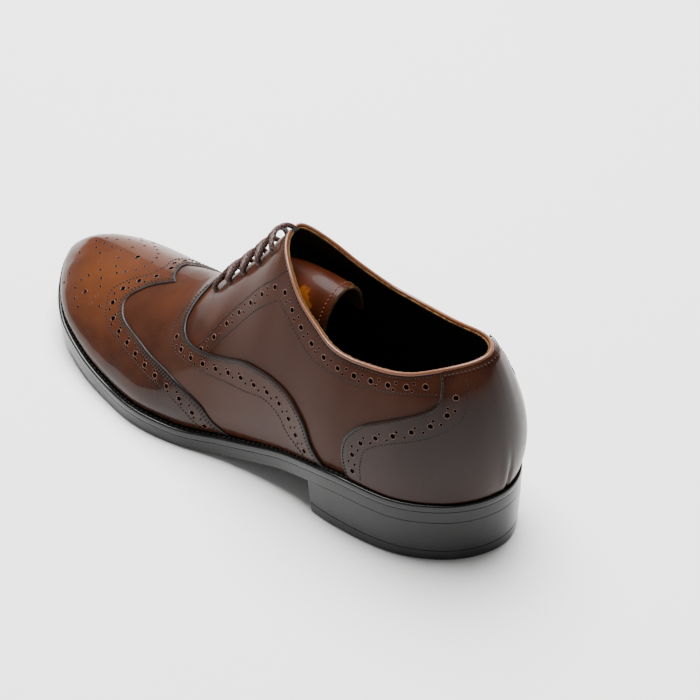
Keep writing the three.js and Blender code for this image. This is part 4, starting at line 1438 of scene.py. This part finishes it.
def aligned_rotation(tree):
    facing = node(tree, "GeometryNodeInputNamedAttribute", data_type="FLOAT_VECTOR")
    facing.inputs["Name"].default_value = "facing"
    run = node(tree, "GeometryNodeInputNamedAttribute", data_type="FLOAT_VECTOR")
    run.inputs["Name"].default_value = "run"
    first = node(tree, "FunctionNodeAlignRotationToVector", axis="Z")
    link(tree, facing.outputs[0], first.inputs["Vector"])
    second = node(tree, "FunctionNodeAlignRotationToVector", axis="X", pivot_axis="Z")
    link(tree, first.outputs[0], second.inputs["Rotation"])
    link(tree, run.outputs[0], second.inputs["Vector"])
    return second.outputs[0]


def uneven_size(tree, inside):
    grow = node(tree, "GeometryNodeInputNamedAttribute", data_type="FLOAT")
    grow.inputs["Name"].default_value = "grow"
    chance = node(tree, "FunctionNodeRandomValue", data_type="FLOAT")
    low = node(tree, "ShaderNodeMath", operation="SUBTRACT")
    low.inputs[0].default_value = 1.0
    link(tree, inside.outputs["Unevenness"], low.inputs[1])
    high = node(tree, "ShaderNodeMath", operation="ADD")
    high.inputs[0].default_value = 1.0
    link(tree, inside.outputs["Unevenness"], high.inputs[1])
    link(tree, low.outputs[0], chance.inputs[2])
    link(tree, high.outputs[0], chance.inputs[3])
    link(tree, inside.outputs["Seed"], chance.inputs["Seed"])
    size = node(tree, "ShaderNodeMath", operation="MULTIPLY")
    link(tree, grow.outputs[0], size.inputs[0])
    link(tree, chance.outputs[1], size.inputs[1])
    return size.outputs[0]


def stitch_tree():
    """Stitches: short rounded threads laid along the points' run."""
    name = "Stitches"
    if name in bpy.data.node_groups:
        return bpy.data.node_groups[name]
    tree = bpy.data.node_groups.new(name, "GeometryNodeTree")
    group_sockets(tree, [
        ("Geometry", "NodeSocketGeometry", None), ("Length", "NodeSocketFloat", 0.0014),
        ("Thread", "NodeSocketFloat", 0.0005), ("Unevenness", "NodeSocketFloat", 0.08),
        ("Seed", "NodeSocketInt", 1), ("Material", "NodeSocketMaterial", None),
    ], [("Geometry", "NodeSocketGeometry")])
    inside, outside = node(tree, "NodeGroupInput"), node(tree, "NodeGroupOutput")
    ball = node(tree, "GeometryNodeMeshUVSphere")
    ball.inputs["Segments"].default_value = 8
    ball.inputs["Rings"].default_value = 6
    ball.inputs["Radius"].default_value = 0.5
    size = node(tree, "ShaderNodeCombineXYZ")
    link(tree, inside.outputs["Length"], size.inputs[0])
    link(tree, inside.outputs["Thread"], size.inputs[1])
    link(tree, inside.outputs["Thread"], size.inputs[2])
    shape = node(tree, "GeometryNodeTransform")
    link(tree, ball.outputs[0], shape.inputs["Geometry"])
    link(tree, size.outputs[0], shape.inputs["Scale"])
    place = node(tree, "GeometryNodeInstanceOnPoints")
    link(tree, inside.outputs["Geometry"], place.inputs["Points"])
    link(tree, shape.outputs[0], place.inputs["Instance"])
    link(tree, aligned_rotation(tree), place.inputs["Rotation"])
    link(tree, uneven_size(tree, inside), place.inputs["Scale"])
    real = node(tree, "GeometryNodeRealizeInstances")
    finish = node(tree, "GeometryNodeSetMaterial")
    link(tree, place.outputs[0], real.inputs[0])
    link(tree, real.outputs[0], finish.inputs["Geometry"])
    link(tree, inside.outputs["Material"], finish.inputs["Material"])
    link(tree, finish.outputs[0], outside.inputs[0])
    return tree


def hole_tree():
    """Punched holes: a turned-in lip of the leather round a flat disc that stands for the hole in painted
    shade.
    """
    name = "Punched holes"
    if name in bpy.data.node_groups:
        return bpy.data.node_groups[name]
    tree = bpy.data.node_groups.new(name, "GeometryNodeTree")
    group_sockets(tree, [
        ("Geometry", "NodeSocketGeometry", None), ("Diameter", "NodeSocketFloat", 0.0028),
        ("Lip", "NodeSocketFloat", 0.0003), ("Unevenness", "NodeSocketFloat", 0.05),
        ("Seed", "NodeSocketInt", 1), ("Leather", "NodeSocketMaterial", None),
        ("Bottom", "NodeSocketMaterial", None),
    ], [("Geometry", "NodeSocketGeometry")])
    inside, outside = node(tree, "NodeGroupInput"), node(tree, "NodeGroupOutput")
    radius = node(tree, "ShaderNodeMath", operation="MULTIPLY")
    link(tree, inside.outputs["Diameter"], radius.inputs[0])
    radius.inputs[1].default_value = 0.5
    wider = node(tree, "ShaderNodeMath", operation="ADD")
    link(tree, radius.outputs[0], wider.inputs[0])
    link(tree, inside.outputs["Lip"], wider.inputs[1])
    circle = node(tree, "GeometryNodeCurvePrimitiveCircle")
    circle.inputs["Resolution"].default_value = 16
    link(tree, wider.outputs[0], circle.inputs["Radius"])
    profile = node(tree, "GeometryNodeCurvePrimitiveCircle")
    profile.inputs["Resolution"].default_value = 6
    link(tree, inside.outputs["Lip"], profile.inputs["Radius"])
    lip = node(tree, "GeometryNodeCurveToMesh")
    link(tree, circle.outputs[0], lip.inputs["Curve"])
    link(tree, profile.outputs[0], lip.inputs["Profile Curve"])
    flat = node(tree, "GeometryNodeTransform")
    flat.inputs["Scale"].default_value = (1, 1, 0.75)
    link(tree, lip.outputs[0], flat.inputs["Geometry"])
    # A flat disc just over the leather stands for the hole and takes the painted shade
    disc = node(tree, "GeometryNodeMeshCircle", fill_type="NGON")
    disc.inputs["Vertices"].default_value = 16
    link(tree, wider.outputs[0], disc.inputs["Radius"])
    raised = node(tree, "GeometryNodeTransform")
    raised.inputs["Translation"].default_value = (0, 0, 0.00006)
    link(tree, disc.outputs[0], raised.inputs["Geometry"])
    rotation = aligned_rotation(tree)
    size = uneven_size(tree, inside)
    join = node(tree, "GeometryNodeJoinGeometry")
    for shape, socket in ((raised, "Bottom"), (flat, "Leather")):
        place = node(tree, "GeometryNodeInstanceOnPoints")
        link(tree, inside.outputs["Geometry"], place.inputs["Points"])
        link(tree, shape.outputs[0], place.inputs["Instance"])
        link(tree, rotation, place.inputs["Rotation"])
        link(tree, size, place.inputs["Scale"])
        real = node(tree, "GeometryNodeRealizeInstances")
        finish = node(tree, "GeometryNodeSetMaterial")
        link(tree, place.outputs[0], real.inputs[0])
        link(tree, real.outputs[0], finish.inputs["Geometry"])
        link(tree, inside.outputs[socket], finish.inputs["Material"])
        link(tree, finish.outputs[0], join.inputs[0])
    link(tree, join.outputs[0], outside.inputs[0])
    return tree


def run_tree(item, tree, values):
    """Give an object's points to a tree, keep the result as a plain mesh and let it ride on the shoe."""
    modifier = item.modifiers.new("Set out", "NODES")
    modifier.node_group = tree
    for socket in tree.interface.items_tree:
        if socket.in_out == "INPUT" and socket.name in values:
            modifier[socket.identifier] = values[socket.name]
    evaluated = item.evaluated_get(bpy.context.evaluated_depsgraph_get())
    result = bpy.data.meshes.new_from_object(evaluated)
    item.modifiers.clear()
    item.data = result
    result.name = item.name
    if "tone" not in result.attributes:
        layer = result.attributes.new("tone", "FLOAT", "POINT")
        layer.data.foreach_set("value", np.full(len(result.vertices), 0.5, np.float32))
    result.shade_smooth()
    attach(item, "root")
    return item


def row_points(rows, out):
    """Points, normals and runs of several rows over the last."""
    points, facing, run = [], [], []
    for row in rows:
        p = last_offset(row[:, 0], row[:, 1], np.full(len(row), out) + relief(row[:, 0], row[:, 1]))
        points.append(p)
        facing.append(last_normal(row[:, 0], row[:, 1]))
        run.append(unit(np.gradient(p, axis=0)))
    return np.concatenate(points), np.concatenate(facing), np.concatenate(run)


def sew(name, points, facing, run, thread, scale=1.0):
    pattern = settings().pattern
    item = points_object(name, points, facing, run, np.full(len(points), scale))
    return run_tree(item, stitch_tree(), {
        "Length": pattern.stitch, "Thread": pattern.thread, "Unevenness": 0.1,
        "Seed": pattern.seed, "Material": thread})


def stitch_rows(name, rows, out):
    laid = [stepped(row, settings().pattern.pitch / MM) for row in rows]
    points, facing, run = row_points(laid, out)
    return sew(name, points, facing, run, dark_thread())


def welt_stitches():
    """One row round the welt's top, outside the upper."""
    stations = edge_stations(60)
    x, y, _ = edge_point(stations, 2.3)
    line = np.stack([x, y, welt_top(x) - 0.05], -1)
    length = np.concatenate([[0], np.cumsum(np.linalg.norm(np.diff(line, axis=0), axis=1))])
    at = np.arange(0, length[-1], 3.0)
    points = np.stack([np.interp(at, length, line[:, k]) for k in range(3)], -1)
    run = unit(np.gradient(points, axis=0))
    facing = np.tile([0.0, 0, 1], (len(points), 1))
    sew("welt_stitches", points, facing, run, dark_thread(), 1.35)


def tongue_stitches(top):
    """One row across the tongue near its free end."""
    line = top[-4] * 0.6 + top[-3] * 0.4
    facing = unit(np.cross(np.gradient(line, axis=0), top[-3] - top[-5]))
    facing = facing * np.sign(facing[:, 2:3] + 1e-9)
    length = np.concatenate([[0], np.cumsum(np.linalg.norm(np.diff(line, axis=0), axis=1))])
    at = np.arange(1.5, length[-1] - 1, 2.1)
    points = np.stack([np.interp(at, length, line[:, k]) for k in range(3)], -1)
    out = unit(np.stack([np.interp(at, length, facing[:, k]) for k in range(3)], -1))
    run = unit(np.gradient(points, axis=0))
    sew("tongue_stitches", points + out * 0.1, out, run, pale_thread())


def slits():
    """Dark lens-shaped discs of painted shade where the laces go into the quarters."""
    build = Build()
    turn = np.arange(16) * 2 * np.pi / 16
    for inside, side in enumerate(eyelet_places()):
        for station, rise in side:
            at = STATIONS - station if inside else station
            middle = last_point(at, rise)
            facing = last_normal(at, rise)
            up = unit(last_point(at, rise + 0.02) - last_point(at, rise - 0.02))
            back = last_point(at + (0.3 if inside else -0.3), rise) - middle
            long = unit(unit(back) * 0.75 + up * 0.65)
            wide = np.cross(facing, long)
            level = -WALL_DEPTH - 0.55 + 0.12
            ring = (middle + facing * level + long * 2.0 * np.cos(turn)[:, None]
                    + wide * 0.95 * np.sin(turn)[:, None])
            edge = build.add(ring)
            heart = build.add((middle + facing * (level - 0.02))[None])
            build.quads(np.stack([np.full(16, heart[0]), edge]), 0, around=True, flip=True)
    show("eyelet_slits", build.mesh("eyelet_slits"), [], [painted_shade_dark()])


def both(row):
    return [row, mirrored(row)]


def hole_band(row, count):
    """Large holes along a row with a pair of small ones between each two, one on either side."""
    large = spread(row, count)
    small = []
    for distance, shift in ((1.65, 0.93), (-1.65, 1.07)):
        shifted = moved(row, distance)
        if len(shifted) > 2:
            small.append(spread(shifted, count - 1, shift, 2 - shift))
    return large, small


def holes(name, bands, singles, out):
    pattern = settings().pattern
    points, facing, run, grow = [], [], [], []
    share = pattern.small / pattern.large
    for band, count in bands:
        large, small = hole_band(band, count)
        for row, size in [(large, 1.0)] + [(part, share) for part in small]:
            if len(row) < 2:
                continue
            p, f, r = row_points([row], out)
            points.append(p)
            facing.append(f)
            run.append(r)
            grow.append(np.full(len(p), size))
    for place, size in singles:
        row = np.array([place])
        points.append(last_offset(row[:, 0], row[:, 1], np.full(1, out)))
        facing.append(last_normal(row[:, 0], row[:, 1]))
        run.append(np.array([[1.0, 0, 0]]))
        grow.append(np.array([1.0 if size > 1.5 else share]))
    points = np.concatenate(points)
    item = points_object(name, points, np.concatenate(facing), np.concatenate(run), np.concatenate(grow))
    # The lips round the holes take a painted highlight, the discs inside them painted shade
    return run_tree(item, hole_tree(), {
        "Diameter": pattern.large, "Lip": 0.24 * MM, "Unevenness": 0.04, "Seed": pattern.seed,
        "Leather": lip_painted_highlight(), "Bottom": painted_shade_dark()})


# Operators, one for each piece or group of like pieces
class BROGUE_OT_sole(bpy.types.Operator):
    """Outsole, welt and heel with waxed edges"""
    bl_idname = "brogue.sole"
    bl_label = "Make the sole"

    def execute(self, context):
        show("sole_plate", outsole_plate().mesh("sole_plate"), ["outsole"],
             [black_wax(), black_rubber()])
        show("welt_edge", welt_ring().mesh("welt_edge"), ["welt"], [black_wax()])
        heel = heel_block(lambda x: sole_bottom(x) - GAP / 3, lambda x: 0 * x + TOP_PIECE + GAP / 3, 0)
        show("heel_stack", heel.mesh("heel_stack"), ["heel"], [black_wax()])
        piece = heel_block(lambda x: 0 * x + TOP_PIECE, lambda x: 0 * x, 1)
        show("heel_rubber", piece.mesh("heel_rubber"), ["heel_top_piece"],
             [black_wax(), black_rubber()])
        show("sock", insole_plate().mesh("sock"), ["insole"], [lining_leather()])
        return {"FINISHED"}


class BROGUE_OT_upper(bpy.types.Operator):
    """Quarters with their lining, cut to the collar and the facings"""
    bl_idname = "brogue.upper"
    bl_label = "Make the quarters"

    def execute(self, context):
        show("quarters", upper_shell().mesh("quarters"), ["upper"],
             [quarter_leather(), lining_leather(), edge_leather()])
        return {"FINISHED"}


class BROGUE_OT_panels(bpy.types.Operator):
    """Vamp, wing cap and heel counter laid over the quarters"""
    bl_idname = "brogue.panels"
    bl_label = "Make the overlays"

    def execute(self, context):
        show("vamp_panel", vamp_panel().mesh("vamp_panel"), ["vamp"],
             [vamp_leather(), edge_leather()])
        show("cap_panel", cap_panel().mesh("cap_panel"), ["wing_cap"],
             [cap_leather(), edge_leather()])
        show("counter_panel", counter_panel().mesh("counter_panel"), ["heel_counter"],
             [counter_leather(), edge_leather()])
        return {"FINISHED"}


class BROGUE_OT_binding(bpy.types.Operator):
    """Rolled bead and raw edge round the collar"""
    bl_idname = "brogue.binding"
    bl_label = "Make the binding"

    def execute(self, context):
        show("collar_bead", binding_bead().mesh("collar_bead", sharp=60), ["topline_binding"],
             [binding_leather(), raw_leather(), painted_shade_dark(), lining_leather()])
        return {"FINISHED"}


class BROGUE_OT_lacing(bpy.types.Operator):
    """Tongue and braided laces"""
    bl_idname = "brogue.lacing"
    bl_label = "Make the tongue and laces"

    def execute(self, context):
        build, top = tongue_sheet()
        show("tongue_sheet", build.mesh("tongue_sheet"), ["tongue"],
             [tongue_leather(), raw_leather()])
        tongue_stitches(top)
        slits()
        show("braided_laces", braided_laces().mesh("braided_laces", sharp=None), ["laces"],
             [lace_braid()])
        return {"FINISHED"}


class BROGUE_OT_stitches(bpy.types.Operator):
    """Rows of stitches along the seams and bands"""
    bl_idname = "brogue.stitches"
    bl_label = "Sew the seams"

    def execute(self, context):
        welt_stitches()
        edge = settings().pattern.edge / MM
        cap_out = GAP - WALL_DEPTH + CAP
        overlay_out = GAP - WALL_DEPTH + OVERLAY
        cap = [moved(row_of(CAP_EDGE), -STRIP[-1] - 0.3), moved(row_of(CAP_EDGE), -STRIP[-1] - 1.5),
               row_through(CAP_ROW)]
        inner = [moved(row_of(CAP_INNER_EDGE), -STRIP[-1] - 0.3),
                 moved(row_of(CAP_INNER_EDGE), -STRIP[-1] - 1.5), row_through(CAP_INNER_ROW)]
        stitch_rows("cap_stitches", cap + [mirrored(row) for row in inner], cap_out)
        vamp = [moved(row_of(VAMP_EDGE, 0.97), -STRIP[-1] - 0.4), row_through(VAMP_ROW)]
        stitch_rows("vamp_stitches", [r for row in vamp for r in both(row)], overlay_out)
        counter = [under_rim(moved(row_of(COUNTER_EDGE, 0.7), edge), 1.6),
                   under_rim(row_through(COUNTER_ROW), 1.6), rim_row(1.5, 0.02, 1.75)]
        stitch_rows("counter_stitches", [r for row in counter for r in both(row)], overlay_out)
        quarters = [row_through(FACING_UPPER), row_through(FACING_LOWER), row_through(COLLAR_LOWER),
                    rim_row(edge, 1.95, CORNERS[0] - 0.03)]
        stitch_rows("quarter_stitches", [r for row in quarters for r in both(row)], -WALL_DEPTH)
        return {"FINISHED"}


class BROGUE_OT_holes(bpy.types.Operator):
    """Punched holes along the bands and on the toe"""
    bl_idname = "brogue.holes"
    bl_label = "Punch the holes"

    def execute(self, context):
        cap_out = GAP - WALL_DEPTH + CAP
        overlay_out = GAP - WALL_DEPTH + OVERLAY
        toe = [((9.46, 0.9999), 2)]
        for along, across, punch in zip(*(ORNAMENT[k] for k in ("along", "across", "punch"))):
            for side in ((1, -1) if across else (1,)):
                toe.append((surface().under(along, ORNAMENT_LINE + side * across), punch))
        inset = STRIP[-1] + 1.2
        cap = between(moved(row_of(CAP_EDGE, 0.91), -inset), row_through(CAP_ROW), 0.5)
        inner = between(moved(row_of(CAP_INNER_EDGE, 0.99), -inset), row_through(CAP_INNER_ROW), 0.5)
        holes("cap_holes", [(cap, HOLES["cap"]), (mirrored(inner), HOLES["cap"])], toe, cap_out)
        vamp = between(moved(row_of(VAMP_EDGE, 0.66), -inset), row_through(VAMP_ROW)[:58], 0.5)
        holes("vamp_holes", [(row, HOLES["vamp"]) for row in both(vamp)], [], overlay_out)
        counter = between(moved(row_of(COUNTER_EDGE, 0.54), 1.4), row_through(COUNTER_ROW), 0.5)
        counter = under_rim(counter, 2.6)
        holes("counter_holes", [(row, HOLES["counter"]) for row in both(counter)], [], overlay_out)
        facing = between(row_through(FACING_UPPER), row_through(FACING_LOWER), 0.45)
        collar = between(rim_row(2.0, 5.4, 1.95), row_through(COLLAR_LOWER), 0.5)
        holes("quarter_holes", [(row, HOLES["facing"]) for row in both(facing)]
              + [(row, HOLES["collar"]) for row in both(collar)], [], -WALL_DEPTH)
        return {"FINISHED"}


class BROGUE_OT_stage(bpy.types.Operator):
    """Pale floor, soft light and the camera"""
    bl_idname = "brogue.stage"
    bl_label = "Set the stage"

    def execute(self, context):
        stage = settings().stage
        data = bpy.data.meshes.new("pale_floor")
        size = 4.0
        data.from_pydata([(-size, -size, 0), (size, -size, 0), (size, size, 0), (-size, size, 0)], [],
                         [(0, 1, 2, 3)])
        floor = bpy.data.objects.new("pale_floor", data)
        floor.location.z = -0.0003
        data.materials.append(plain("Pale floor", stage.floor, scaled(stage.floor, 0.97), 8, 0.6, 0.0))
        bpy.context.scene.collection.objects.link(floor)
        set_light("key", (0.4, -0.4, 1.7), (0, 0, 0), 1.5, stage.key)
        set_light("backdrop", (1.5, -1.8, 0.55), (0, 0, 0.1), 1.6, stage.key * 0.1)
        world = bpy.data.worlds.new("pale room")
        world.use_nodes = True
        shade = world.node_tree.nodes["Background"]
        shade.inputs["Color"].default_value = (1, 1, 1, 1)
        shade.inputs["Strength"].default_value = stage.sky
        bpy.context.scene.world = world
        set_camera()
        return {"FINISHED"}


def set_light(name, place, aim, size, power):
    data = bpy.data.lights.new(name, "AREA")
    data.shape = "DISK"
    data.size = size
    data.energy = power
    lamp = bpy.data.objects.new(name, data)
    bpy.context.scene.collection.objects.link(lamp)
    lamp.location = place
    lamp.rotation_euler = (Vector(aim) - Vector(place)).to_track_quat("-Z", "Y").to_euler()


def set_camera():
    """The photograph's viewpoint, found by fitting the sole's outline to the photograph."""
    turn, rise, roll = (math.radians(v) for v in (220.18, 41.563, -1.06))
    back = Vector((math.sin(turn) * math.cos(rise), -math.cos(turn) * math.cos(rise), math.sin(rise)))
    right = (-back).cross(Vector((0, 0, 1))).normalized()
    up = right.cross(-back)
    right, up = (right * math.cos(roll) + up * math.sin(roll), up * math.cos(roll) - right * math.sin(roll))
    data = bpy.data.cameras.new("photograph")
    data.sensor_width = 36
    data.lens = 128.57
    camera = bpy.data.objects.new("photograph", data)
    place = Vector((np.array([-469.52, 668.34, 843.38]) + SHIFT) * MM)
    camera.matrix_world = Matrix((
        (right.x, up.x, back.x, place.x), (right.y, up.y, back.y, place.y),
        (right.z, up.z, back.z, place.z), (0, 0, 0, 1)))
    bpy.context.scene.collection.objects.link(camera)
    bpy.context.scene.camera = camera


STEPS = ("sole", "upper", "panels", "binding", "lacing", "stitches", "holes", "stage")


class BROGUE_PT_panel(bpy.types.Panel):
    """Everything that makes the shoe, in order"""
    bl_idname = "BROGUE_PT_panel"
    bl_label = "Brogue shoe"
    bl_space_type = "VIEW_3D"
    bl_region_type = "UI"
    bl_category = "Brogue"

    def draw(self, context):
        brogue = context.scene.brogue
        for group in (brogue.colours, brogue.pattern, brogue.laces, brogue.stage):
            box = self.layout.box()
            for key in group.__annotations__:
                box.prop(group, key)
        for step in STEPS:
            self.layout.operator("brogue." + step)


CLASSES = (
    BrogueColours, BroguePattern, BrogueLaces, BrogueStage, BrogueSettings,
    BROGUE_OT_sole, BROGUE_OT_upper, BROGUE_OT_panels, BROGUE_OT_binding, BROGUE_OT_lacing,
    BROGUE_OT_stitches, BROGUE_OT_holes, BROGUE_OT_stage, BROGUE_PT_panel,
)


def register():
    for each in CLASSES:
        bpy.utils.register_class(each)
    bpy.types.Scene.brogue = bpy.props.PointerProperty(type=BrogueSettings)


def unregister():
    del bpy.types.Scene.brogue
    for each in reversed(CLASSES):
        bpy.utils.unregister_class(each)


def main():
    register()
    for step in STEPS:
        getattr(bpy.ops.brogue, step)()


if __name__ == "__main__":
    main()
